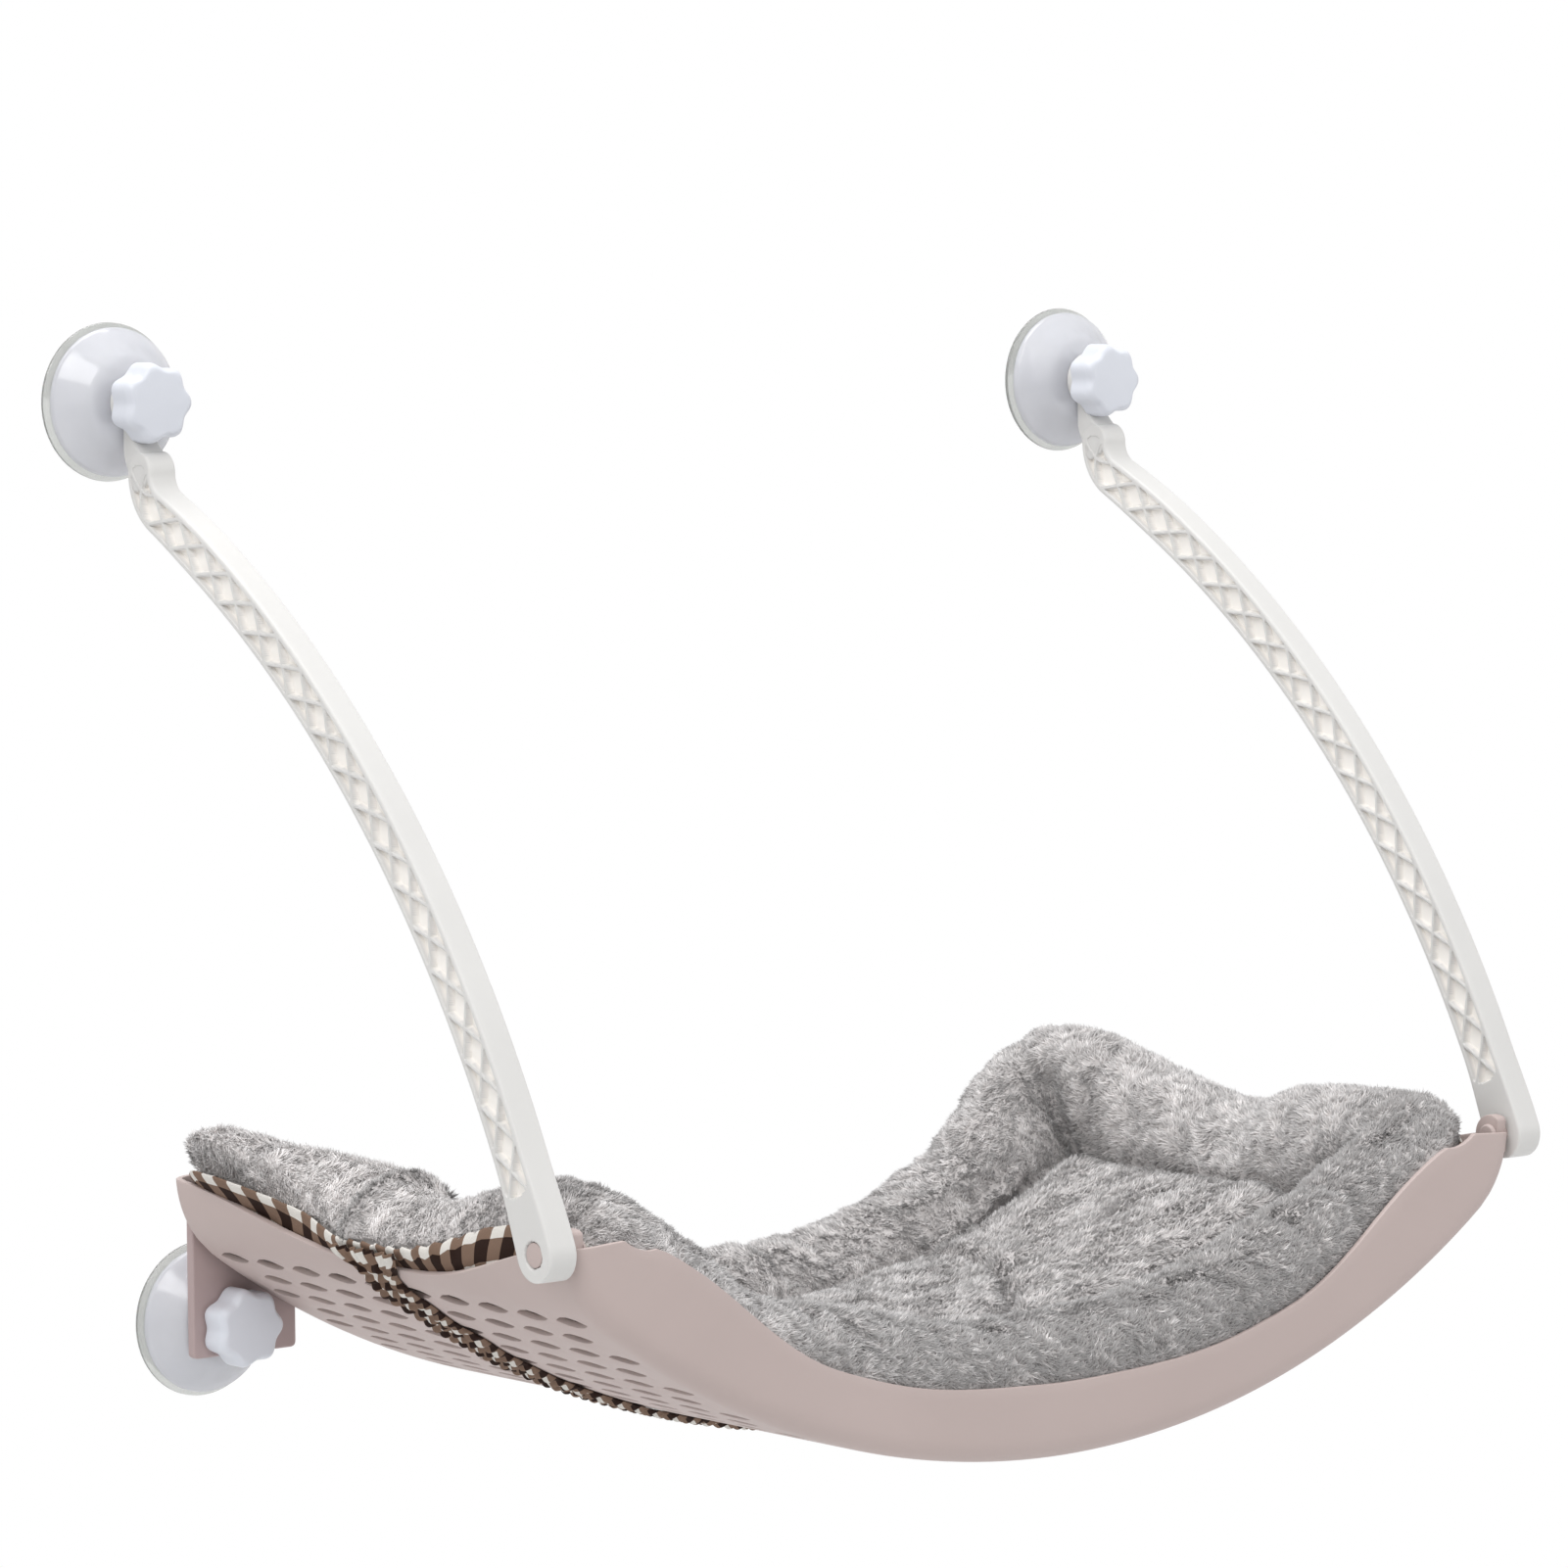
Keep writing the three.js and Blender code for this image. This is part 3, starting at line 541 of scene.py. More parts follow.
@cache
def weave_group() -> bpy.types.NodeTree:
    """A plain weave on a piece's own UV map, in metres: threads that go over and under.

    Returns:
        A group with Threads, a count to the metre, in, and Height and Fibre out.
    """
    shader, group_in, group_out = new_group(
        "plain weave", {"Threads": ("Float", 2200.0)}, {"Height": "Float", "Fibre": "Float"})
    flat = shader.add("UVMap", uv_map="cloth").outputs["UV"]
    split = shader.add("SeparateXYZ", {"Vector": flat})
    turns = [shader.math("MULTIPLY", split.outputs[axis], group_in.outputs["Threads"]) for axis in ("X", "Y")]
    warp, weft = (shader.math("SINE", shader.math("MULTIPLY", t, math.pi)) for t in turns)
    shader.feed(group_out, {"Height": shader.math("MULTIPLY", warp, weft), "Fibre": shader.noise(flat, 2600.0)})
    return shader.tree


def started(name: str) -> tuple[bpy.types.Material, Shader, bpy.types.Node]:
    """Starts a material: itself, a shader on its tree, and its Principled BSDF.

    Args:
        name: The material's name.

    Returns:
        The material, the shader and the node.
    """
    material = bpy.data.materials.new(name)
    material.use_nodes = True
    return material, Shader(material.node_tree), material.node_tree.nodes["Principled BSDF"]


@dataclass(frozen=True)
class Plastic:
    """A moulded plastic finish, with a paler colour painted into recesses as painted light against their shade, where
    one is given.
    """

    name: str
    colour: Colour
    roughness: float
    grain: float = 900.0
    depth: float = 0.12
    glow: float = 0.0
    glow_reach: float = 0.004
    recess_painted_light: Colour | None = None

    def material(self) -> bpy.types.Material:
        """Builds the material: the moulded group on a Principled BSDF.

        Returns:
            The material.
        """
        material, shader, principled = started(self.name)
        colour: object = (*self.colour, 1.0)
        # A paler recess colour is painted light against the shade in the recesses.
        if self.recess_painted_light is not None:
            colour = shader.blend(shader.attribute("recess"), colour, (*self.recess_painted_light, 1.0))
        group = shader.add("Group", node_tree=moulded_group())
        shader.feed(group, {"Colour": colour, "Roughness": self.roughness, "Grain": self.grain, "Depth": self.depth})
        shader.feed(principled, {
            "Base Color": group.outputs["Colour"], "Roughness": group.outputs["Roughness"],
            "Normal": group.outputs["Normal"], "Subsurface Weight": self.glow,
            "Subsurface Radius": (self.glow_reach,) * 3, "Subsurface Scale": 1.0})
        return material


@dataclass(frozen=True)
class ClearVinyl:
    """The soft clear vinyl of the suction cups' membranes."""

    name: str = "clear vinyl"
    colour: Colour = srgb(222, 224, 221)
    cloudy: Colour = srgb(232, 233, 231)
    roughness: float = 0.08

    def material(self) -> bpy.types.Material:
        """Builds the material: mostly transmitted light, with faint moulding ripples.

        Returns:
            The material.
        """
        material, shader, principled = started(self.name)
        ripple = shader.noise(shader.place(), 60.0)
        shader.feed(principled, {
            "Base Color": shader.ramp(ripple, (0.3, self.colour), (0.7, self.cloudy)), "Roughness": self.roughness,
            "Normal": shader.bump(ripple, 0.08, 0.001), "IOR": 1.45, "Transmission Weight": 0.75})
        return material


@dataclass(frozen=True)
class Frosted:
    """The milky translucent plastic of the cups' dome covers."""

    name: str = "frosted cover"
    colour: Colour = srgb(232, 233, 240)
    cloudy: Colour = srgb(238, 239, 245)
    roughness: float = 0.13
    glow_reach: float = 0.006

    def material(self) -> bpy.types.Material:
        """Builds the material: milky with scattered light, under a glossy skin.

        Returns:
            The material.
        """
        material, shader, principled = started(self.name)
        place = shader.place()
        cloud = shader.noise(place, 45.0, 3.0)
        streak = shader.add("Mapping", {"Vector": place, "Scale": (90.0, 90.0, 9.0)}).outputs["Vector"]
        shader.feed(principled, {
            "Base Color": shader.ramp(cloud, (0.3, self.colour), (0.7, self.cloudy)),
            "Roughness": shader.spread(cloud, self.roughness - 0.06, self.roughness + 0.06),
            "Normal": shader.bump(shader.noise(streak, 1.0, 1.0), 0.5, 0.002), "Transmission Weight": 0.45,
            "Subsurface Weight": 0.2, "Subsurface Radius": (self.glow_reach,) * 3, "Subsurface Scale": 1.0})
        return material


@dataclass(frozen=True)
class Steel:
    """Zinc-plated steel with a drawn surface."""

    name: str = "zinc plated steel"
    colour: Colour = srgb(176, 177, 180)
    scratched: Colour = srgb(200, 201, 204)
    roughness: float = 0.32

    def material(self) -> bpy.types.Material:
        """Builds the material: metal with fine scratches in its roughness and normal.

        Returns:
            The material.
        """
        material, shader, principled = started(self.name)
        drawn = shader.add("Mapping", {"Vector": shader.place(), "Scale": (1.0, 14.0, 1.0)}).outputs["Vector"]
        scratch = shader.noise(drawn, 900.0, 3.0)
        shader.feed(principled, {
            "Base Color": shader.ramp(scratch, (0.3, self.colour), (0.75, self.scratched)),
            "Roughness": shader.spread(scratch, self.roughness - 0.1, self.roughness + 0.15),
            "Normal": shader.bump(scratch, 0.15, 0.0002), "Metallic": 1.0})
        return material


@dataclass(frozen=True)
class Plush:
    """Short grey pile with silvery tips. It reads each lock's rise and tone attributes."""

    name: str = "grey plush"
    root: Colour = srgb(174, 166, 164)
    middle: Colour = srgb(224, 220, 219)
    tip: Colour = srgb(248, 245, 245)
    roughness: float = 0.88

    def material(self) -> bpy.types.Material:
        """Builds the material: dark roots to pale tips, varied from lock to lock.

        Returns:
            The material.
        """
        material, shader, principled = started(self.name)
        place = shader.place()
        colour = shader.ramp(shader.attribute("rise"), (0.0, self.root), (0.5, self.middle), (1.0, self.tip))
        # The tone attribute holds each lock's own tone with the painted shade and painted light of Pile.tones.
        shade = shader.spread(shader.attribute("tone"), 0.50, 1.42, 0.0, PALEST)
        mottle = shader.noise(place, 160.0, 4.0)
        patch = shader.spread(mottle, 0.88, 1.08, 0.3, 0.7)
        toned = shader.blend(1.0, colour, shade, "MULTIPLY")
        shader.feed(principled, {
            "Base Color": shader.blend(1.0, toned, patch, "MULTIPLY"),
            "Roughness": shader.spread(mottle, self.roughness - 0.1, self.roughness + 0.08),
            "Normal": shader.bump(shader.noise(place, 1500.0), 0.4, 0.0008),
            "Sheen Weight": 0.35, "Sheen Roughness": 0.45})
        return material


@dataclass(frozen=True)
class Gingham:
    """Woven brown and white check, on the piece's own UV map in metres."""

    name: str = "gingham"
    check: float = 0.0098
    brown: Colour = srgb(42, 24, 17)
    middle: Colour = srgb(128, 105, 90)
    white: Colour = srgb(226, 222, 216)
    roughness: float = 0.85

    def material(self) -> bpy.types.Material:
        """Builds the material: brown where two brown bands cross, pale where none does.

        Returns:
            The material.
        """
        material, shader, principled = started(self.name)
        split = shader.add("SeparateXYZ", {"Vector": shader.add("UVMap", uv_map="cloth").outputs["UV"]})
        turns = [shader.math("DIVIDE", split.outputs[axis], 2.0 * self.check) for axis in ("X", "Y")]
        bands = [shader.math("GREATER_THAN", shader.math("FRACT", turn), 0.5) for turn in turns]
        count = shader.math("MULTIPLY", shader.math("ADD", *bands), 0.5)
        colour = shader.ramp(count, (0.0, self.white), (0.5, self.middle), (1.0, self.brown))
        weave = shader.add("Group", node_tree=weave_group()).outputs
        thread = shader.spread(weave["Fibre"], 0.86, 1.06, 0.3, 0.7)
        shader.feed(principled, {
            "Base Color": shader.blend(1.0, colour, thread, "MULTIPLY"),
            "Roughness": shader.spread(weave["Fibre"], self.roughness - 0.1, self.roughness + 0.1),
            "Normal": shader.bump(weave["Height"], 0.35, 0.0003), "Specular IOR Level": 0.2})
        return material


@dataclass
class Finishes:
    """Every material of the hammock, each built once."""

    tray: bpy.types.Material
    bracket: bpy.types.Material
    arm: bpy.types.Material
    knob: bpy.types.Material
    cover: bpy.types.Material
    membrane: bpy.types.Material
    steel: bpy.types.Material
    plush: bpy.types.Material
    gingham: bpy.types.Material

    @classmethod
    def build(cls) -> Finishes:
        """Builds them all."""
        return cls(
            tray=Plastic("dusty mauve", srgb(188, 172, 168), 0.52, 800.0, 0.10).material(),
            # The bracket is the tray's mauve plastic made darker: painted shade for the shadow under the tray.
            bracket=Plastic("mauve in painted shade", srgb(174, 155, 154), 0.5, 800.0, 0.10).material(),
            # Paler recess colour: painted light against the shade that falls in the arm's recesses.
            arm=Plastic("warm white", srgb(213, 212, 210), 0.45, 900.0, 0.08, glow=0.2,
                        recess_painted_light=srgb(252, 248, 243)).material(),
            knob=Plastic("cool white", srgb(214, 217, 225), 0.34, 900.0, 0.06, glow=0.15).material(),
            cover=Frosted().material(),
            membrane=ClearVinyl().material(),
            steel=Steel().material(),
            plush=Plush().material(),
            gingham=Gingham().material(),
        )


def dress(piece: bpy.types.Object, material: bpy.types.Material, slot: str, body: str,
          *nodes: str) -> bpy.types.Object:
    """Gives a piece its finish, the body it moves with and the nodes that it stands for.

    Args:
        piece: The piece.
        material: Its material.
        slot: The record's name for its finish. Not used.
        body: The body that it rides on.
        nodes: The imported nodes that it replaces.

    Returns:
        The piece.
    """
    piece.data.materials.clear()
    piece.data.materials.append(material)
    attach(piece, body)
    if nodes:
        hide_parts(*nodes)
    LOG.info("made %s on %s", piece.name, body)
    return piece


@dataclass
class TrayForm:
    """The tray's curved section across X and Z and its rims, in millimetres."""

    half_width: float
    front: float
    back: float
    floor_radius: float = 443.83
    floor_drop: float = 50.5
    corner_radius: float = 50.0
    wall: float = 2.8
    fillet: float = 10.0
    wall_height: float = 34.5
    wall_dip: float = 3.0
    wall_dip_span: tuple[float, float] = (20.0, 110.0)
    ear_height: float = 71.0
    ear_rise: float = 12.5
    ear_rise_span: tuple[float, float] = (150.0, 250.0)
    ear_fall: float = 17.0
    ear_fall_start: float = 255.0
    rim_height: float = 47.0
    rim_back_flat: float = 10.0
    rim_front_flat: float = 30.0

    @classmethod
    def from_frame(cls) -> TrayForm:
        """Takes the tray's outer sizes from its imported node."""
        low, high = box_mm("tray")
        return cls(half_width=float(high[0]), front=float(-low[1]), back=float(-high[1]))

    def __post_init__(self) -> None:
        """Works out the centres of the section's arcs."""
        inner = self.floor_radius - self.corner_radius
        self.centre_z = self.floor_radius - self.floor_drop
        self.corner_x = self.half_width - self.corner_radius
        self.corner_z = self.centre_z - math.sqrt(inner**2 - self.corner_x**2)
        self.corner_start = math.asin(self.corner_x / inner)
        self.corner_arc = self.floor_radius * self.corner_start
        self.middle = -(self.front + self.back) / 2.0
        self.half_depth = (self.front - self.back) / 2.0
        self.end_arc = float(self.arc_at(self.ear_height))

    def arc_at(self, height: Array) -> Array:
        """Arc length from the middle to where the corner reaches a height.

        Args:
            height: Heights on the corner's arc.

        Returns:
            The arc length to each.
        """
        reach = math.pi / 2.0 - self.corner_start
        angle = reach - np.arcsin((self.corner_z - np.asarray(height)) / self.corner_radius)
        return self.corner_arc + self.corner_radius * angle

    def section(self, s: Array, h: Array) -> tuple[Array, Array]:
        """X and Z on the section: the floor's large arc, then the corner's small one.

        Args:
            s: Arc length from the middle, along the outer surface.
            h: Distance inwards from the outer surface.

        Returns:
            X and Z.
        """
        length = np.abs(s)
        sign = np.where(s < 0.0, -1.0, 1.0)
        floor_angle = np.minimum(length, self.corner_arc) / self.floor_radius
        corner_angle = self.corner_start + np.maximum(length - self.corner_arc, 0.0) / self.corner_radius
        on_floor = length <= self.corner_arc
        floor_reach = self.floor_radius - h
        corner_reach = self.corner_radius - h
        x = np.where(on_floor, floor_reach * np.sin(floor_angle),
                     self.corner_x + corner_reach * np.sin(corner_angle))
        z = np.where(on_floor, self.centre_z - floor_reach * np.cos(floor_angle),
                     self.corner_z - corner_reach * np.cos(corner_angle))
        return sign * x, z

    def floor_point(self, s: Array, y: Array, h: Array) -> Array:
        """Points over the floor's large arc carried on past the corners, where the cushion lies.

        Args:
            s: Arc length from the middle.
            y: Place from the tray's middle towards the pane.
            h: Height over the tray's outer surface.

        Returns:
            Points, in millimetres.
        """
        angle = s / self.floor_radius
        reach = self.floor_radius - h
        return stacked(reach * np.sin(angle), self.middle + y, self.centre_z - reach * np.cos(angle))

    def rim_arc(self, y: Array) -> Array:
        """Arc length to the side rim, which dips in the middle of the tray's depth.

        Args:
            y: Places in Y.

        Returns:
            The arc length to the rim at each.
        """
        flat = np.where(y > self.middle, self.rim_back_flat, self.rim_front_flat)
        share = smoothstep(np.abs(y - self.middle), flat, self.half_depth)
        return self.arc_at(mix(self.rim_height, self.ear_height, share))

    def wall_top(self, s: Array) -> Array:
        """Height of an end wall: low over the middle, rising into an ear at each end.

        Args:
            s: Arc lengths from the middle.

        Returns:
            The wall's height at each.
        """
        length = np.abs(s)
        fall = np.maximum(length - self.ear_fall_start, 0.0) / (self.end_arc - self.ear_fall_start)
        return (self.wall_height - self.wall_dip * smoothstep(length, *self.wall_dip_span)
                + self.ear_rise * smoothstep(length, *self.ear_rise_span) - self.ear_fall * fall**2)


@dataclass
class Tray:
    """The moulded tray with its leaf-shaped slots."""

    form: TrayForm
    row_half: float = 8.5
    row_count: int = 34
    slot_pitch: float = 27.8
    slot_cells: int = 10
    slot_length: float = 21.5
    slot_width: float = 8.2
    rim_steps: int = 18
    wall_lines: int = 5
    fillet_lines: int = 8
    boss_radius: float = 9.5
    boss_depth: float = 8.0
    rim_bevel: float = 0.9
    boss_bevel: float = 0.8
    pivot_height: float = 69.6

    def floor_lines(self) -> Array:
        """Places of the grid's lines over the floor, from the pane: the slotted field and its two edges.

        Returns:
            The places, from the tray's middle.
        """
        half = self.slot_pitch * self.slot_cells / 2.0
        edge = (self.form.half_depth - self.form.fillet + half) / 2.0
        return np.concatenate([[-edge], np.linspace(-half, half, 4 * self.slot_cells + 1), [edge]])

    def surface(self, inset: float) -> Array:
        """One face of the tray as a grid: columns along X, rows from back wall to front wall.

        A wall point lies at the end's face, raised to a share of the wall's height. A fillet
        point goes round a quarter circle. A floor point lies at the outer surface plus inset.

        Args:
            inset: Distance in from the outer surface.

        Returns:
            The points, rows by columns by three.
        """
        form = self.form
        lattice = (np.arange(2 * self.row_count + 1) - self.row_count) * self.row_half
        shares = np.linspace(0.0, 1.0, self.rim_steps + 1)[1:]

        def across(limit: float) -> Array:
            """A line's places across the tray, from rim to rim."""
            rim = mix(lattice[-1], limit, shares)
            return np.concatenate([-rim[::-1], lattice, rim])

        def line(s: Array, h: Array, y: float) -> Array:
            """A line's points."""
            x, z = form.section(s, h)
            return stacked(x, y, z)

        s = across(form.end_arc)
        radius = form.fillet - inset
        ends = [(mix(form.fillet, form.wall_top(s), share), inset)
                for share in np.linspace(1.0, 0.0, self.wall_lines + 1)[:-1]]
        ends += [(form.fillet - radius * math.sin(angle), form.fillet - radius * math.cos(angle))
                 for angle in np.linspace(0.0, math.pi / 2.0, self.fillet_lines)]
        back, front = ([line(s, h, form.middle + end * (form.half_depth - off)) for h, off in ends]
                       for end in (1.0, -1.0))
        floor = [line(across(float(form.rim_arc(y))), inset, y) for y in form.middle - self.floor_lines()]
        return np.stack(back + floor + front[::-1])

    def slots(self) -> tuple[Array, Array]:
        """The first row and the first column of each slotted cell on the grid, in staggered lines.

        Returns:
            The rows and the columns.
        """
        line, cell = np.mgrid[: self.row_count, : self.slot_cells]
        odd = line % 2
        rows = self.wall_lines + self.fillet_lines + 1 + 2 * odd + 4 * cell
        whole = cell < self.slot_cells - odd
        return rows[whole], (self.rim_steps + 2 * line)[whole]

    def skin(self) -> Skin:
        """The whole shell: two grids with leaf-shaped holes, joined round the rim and the holes.

        Each slotted cell is two columns by four rows of the grid. Its eight quads give way to a
        ring of twelve from the cell's edge to the leaf, whose half width is a parabola of the
        distance along it.

        Returns:
            The closed skin.
        """
        form = self.form
        insets = (0.0, form.wall)
        grids = [self.surface(inset) for inset in insets]
        row_total, column_total, _ = grids[0].shape
        cell_row, cell_column = self.slots()
        solid = np.ones((row_total - 1, column_total - 1), bool)
        for down, over in np.ndindex(4, 2):
            solid[cell_row + down, cell_column + over] = False
        quads = grid_quads(row_total, column_total)[solid.reshape(-1)]

        ring_steps = np.array([(0, 0), (0, 1), (0, 2), (1, 2), (2, 2), (3, 2),
                               (4, 2), (4, 1), (4, 0), (3, 0), (2, 0), (1, 0)])
        ring = (cell_row[:, None] + ring_steps[:, 0]) * column_total + cell_column[:, None] + ring_steps[:, 1]
        along = np.array([-0.82, -1.0, -0.82, -0.5, 0.0, 0.5, 0.82, 1.0, 0.82, 0.5, 0.0, -0.5])
        side = np.array([-1, 0, 1, 1, 1, 1, 1, 0, -1, -1, -1, -1])
        centre_s = (cell_column + 1 - self.rim_steps - self.row_count) * self.row_half
        s = centre_s[:, None] + side * (1.0 - along**2) * self.slot_width / 2.0
        holes = []
        for grid, inset in zip(grids, insets):
            x, z = form.section(s, inset)
            y = grid[cell_row + 2, cell_column + 1, 1][:, None] - along * self.slot_length / 2.0
            holes.append(stacked(x, y, z).reshape(-1, 3))
        grid_size, hole_size = row_total * column_total, len(holes[0])
        hole = 2 * grid_size + np.arange(hole_size).reshape(-1, len(along))

        def strip(inner: Array, outer: Array) -> Array:
            """Quads between two closed rings of points."""
            quad = [inner, np.roll(inner, -1, axis=-1), np.roll(outer, -1, axis=-1), outer]
            return np.stack(quad, axis=-1).reshape(-1, 4)

        number = np.arange(grid_size).reshape(row_total, column_total)
        rim = np.concatenate([number[0, :-1], number[:-1, -1], number[-1, :0:-1], number[:0:-1, 0]])
        faces = [quads, quads + grid_size, strip(ring, hole), strip(ring + grid_size, hole + hole_size),
                 strip(hole, hole + hole_size), strip(rim, rim + grid_size)]
        return Skin(np.concatenate([*(grid.reshape(-1, 3) for grid in grids), *holes]), faces)

    def boss(self, side: Side) -> Skin:
        """The boss inside a front corner that the arm's pin turns in.

        Its outline is a circle, flattened where it meets the inside of the front wall.

        Args:
            side: Which corner.

        Returns:
            The closed skin.
        """
        form = self.form
        angle = np.linspace(0.0, 2.0 * math.pi, 40, endpoint=False)
        y = self.boss_radius - form.front + self.boss_radius * np.cos(angle)
        outline = np.stack([np.maximum(y, 1.5 * form.wall - form.front),
                            self.pivot_height + self.boss_radius * np.sin(angle)], axis=-1)
        ends = sorted(side.value * (form.half_width - depth) for depth in (0.7 * form.wall, self.boss_depth))
        return slab(outline, *ends, along=0)

    def build(self, finishes: Finishes) -> None:
        """Builds the tray as one piece with bevelled rims and slots.

        Args:
            finishes: The materials.
        """
        whole = self.skin().piece("moulded_tray", crease=30.0)
        bevel(whole, self.rim_bevel)
        bosses = [self.boss(side).piece(f"boss_{side.word}") for side in Side]
        for boss in bosses:
            bevel(boss, self.boss_bevel)
        pieces = [whole, *bosses]
        with bpy.context.temp_override(object=whole, active_object=whole, selected_objects=pieces,
                                       selected_editable_objects=pieces):
            bpy.ops.object.join()
        whole.data.set_sharp_from_angle(angle=math.radians(38.0))
        dress(whole, finishes.tray, "tray_plastic", "tray", "tray")


@dataclass
class Arm:
    """One bowed arm: its foot on the pivot pin, its ribbed bow and its collar."""

    side: Side
    middle_x: float
    pivot_y: float
    pivot_z: float
    width: float = 14.4
    step: float = 0.8
    bow_radius: float = 591.0
    foot_angle: float = math.radians(68.2)
    neck_angle: float = math.radians(27.5)
    neck_radius: float = 20.0
    half_depth: float = 10.3
    foot_radius: float = 12.0
    foot_blend: float = 42.0
    head_radius: float = 9.0
    edge_round: float = 1.3
    flange: float = 2.5
    web: float = 8.0
    rib_half: float = 0.75
    rib_draft: float = 0.8
    cells: int = 19
    ribs_start: float = 26.0
    ribs_end_gap: float = -12.0
    sink_radius: float = 5.7
    sink_depth: float = 2.6
    collar_rise: float = 31.0
    collar_radius: float = 13.5
    collar_bore: float = 4.2
    collar_round: float = 0.9
    seam_offset: float = 4.0
    neck_width: float = 13.6
    neck_gap: float = 4.5
    neck_front: float = 24.0
    neck_back: float = 14.0
    neck_round: float = 3.0
    neck_bevel: float = 1.2
    tone_start: float = 18.0
    sink_edge: float = 0.3
    clamp_front: float = 21.7
    clamp_back: float = 26.7

    def __post_init__(self) -> None:
        """Works out the centre line's arcs."""
        self.bow = self.bow_radius * (self.foot_angle - self.neck_angle)
        self.neck = self.neck_radius * (math.pi / 2.0 - self.neck_angle)
        self.length = self.bow + self.neck
        self.centre = np.array([self.pivot_y + self.bow_radius * math.sin(self.foot_angle),
                                self.pivot_z - self.bow_radius * math.cos(self.foot_angle)])
        reach = self.bow_radius + self.neck_radius
        self.neck_centre = np.array([self.centre[0] - reach * math.sin(self.neck_angle),
                                     self.centre[1] + reach * math.cos(self.neck_angle)])
        self.head_y = float(self.neck_centre[0]) + self.neck_radius
        self.head_z = float(self.neck_centre[1])

    def beside(self, along: Array, off: Array) -> tuple[Array, Array]:
        """Y and Z beside the centre line: a large arc up the bow, a small reverse arc at the
        neck, then straight up.

        Args:
            along: Length up the centre line from the pivot.
            off: Distance to the front of it.

        Returns:
            Y and Z.
        """
        bow_angle = self.foot_angle - along / self.bow_radius
        bow_reach = self.bow_radius + off
        past = np.clip(along - self.bow, 0.0, self.neck)
        neck_angle = self.neck_angle + past / self.neck_radius
        neck_reach = self.neck_radius - off
        over = np.maximum(along - self.length, 0.0)
        in_bow = along <= self.bow
        y = np.where(in_bow, self.centre[0] - bow_reach * np.sin(bow_angle),
                     self.neck_centre[0] + neck_reach * np.sin(neck_angle))
        z = np.where(in_bow, self.centre[1] + bow_reach * np.cos(bow_angle),
                     self.neck_centre[1] - neck_reach * np.cos(neck_angle) + over)
        return y, z

    def half(self, along: Array) -> Array:
        """Half the arm's depth: round at the foot and the head, even between them.

        Args:
            along: Lengths up the centre line.

        Returns:
            Half the depth at each.
        """
        body = mix(self.foot_radius, self.half_depth, smoothstep(along, 0.0, self.foot_blend))
        body = mix(body, self.head_radius, smoothstep(along, self.bow - self.foot_blend, self.length))
        foot = np.sqrt(np.maximum(self.foot_radius**2 - np.minimum(along, 0.0) ** 2, 0.0))
        head = np.sqrt(np.maximum(self.head_radius**2 - np.maximum(along - self.length, 0.0) ** 2, 0.0))
        return np.where(along < 0.0, foot, np.where(along > self.length, head, body))

    def recess(self, along: Array, off: Array, outside: Array) -> Array:
        """Depth of the ribbed recess in a side face.

        The recess is a smooth step in from its round-ended border. Two sets of slanted ribs cross
        in it: a rib is where the distance to its line is under its half width. The outer face is
        also sunk round the pin's head.

        Args:
            along: Length up the centre line.
            off: Distance from the centre line.
            outside: Whether each point is on the outer face.

        Returns:
            The depth.
        """
        start, end = self.ribs_start, self.length - self.ribs_end_gap - self.head_radius
        reach = self.half(along) - self.flange
        past_end = np.maximum(along - (end - reach), 0.0)
        past_start = np.maximum(start + reach * 0.5 - along, 0.0)
        inside = smoothstep(reach - np.hypot(off, past_end + 2.0 * past_start), 0.0, self.rib_draft)
        pitch = (end - start) / self.cells
        full = self.half_depth - self.flange
        lean = math.cos(math.atan(2.0 * full / pitch))
        zigzag = np.abs(((along - start) / pitch % 2.0) - 1.0) * 2.0 - 1.0
        gap = np.minimum(np.abs(off - full * zigzag), np.abs(off + full * zigzag)) * lean
        clear = smoothstep(gap, self.rib_half, self.rib_half + self.rib_draft)
        sink = smoothstep(self.sink_radius - np.hypot(along, off), -self.sink_edge, self.sink_edge) * outside
        return inside * clear * (self.width - self.web) / 2.0 + sink * self.sink_depth

    def body(self) -> bpy.types.Object:
        """The arm without its collar: a closed section carried up the centre line.

        The section is a rounded rectangle, and its two side faces are sunk by the recess.

        Returns:
            The piece.
        """
        foot = -self.foot_radius * np.cos(np.linspace(0.0, math.pi / 2.0, 16))[:-1]
        head = self.length + self.head_radius * np.sin(np.linspace(0.0, math.pi / 2.0, 14))[1:]
        along = np.concatenate([foot, np.arange(0.0, self.length, self.step), [self.length], head])[:, None]
        half = self.half(along)
        edge, x_half = self.edge_round, self.width / 2.0
        face = np.linspace(-1.0, 1.0, 37)
        across = np.linspace(1.0, -1.0, 7)
        corner = np.linspace(0.0, math.pi / 2.0, 4)[1:-1]
        scale = np.maximum(half - edge, 0.0)
        round_off = scale + np.minimum(half, edge) * np.sin(corner)
        round_x = x_half - edge + edge * np.cos(corner)
        bands = []
        for sign in (1.0, -1.0):
            bands += [(sign * face * scale, np.full_like(face, sign * x_half)),
                      (sign * round_off, sign * round_x),
                      (sign * half, sign * (x_half - edge) * across),
                      (sign * round_off[:, ::-1], -sign * round_x[::-1])]
        off, x = (np.concatenate(part, axis=1) for part in zip(*(np.broadcast_arrays(*band) for band in bands)))
        on_face = np.abs(np.abs(x) - x_half) < 1e-6
        depth = self.recess(along, off, np.sign(x) == self.side.value)
        x = np.where(on_face, np.sign(x) * (x_half - depth), x)
        skin = Skin.grid(stacked(self.side.value * self.middle_x + x, *self.beside(along, off)), wrap_columns=True)
        return skin.piece(f"{self.side.word}_bowed_arm", weld=0.02, crease=None)

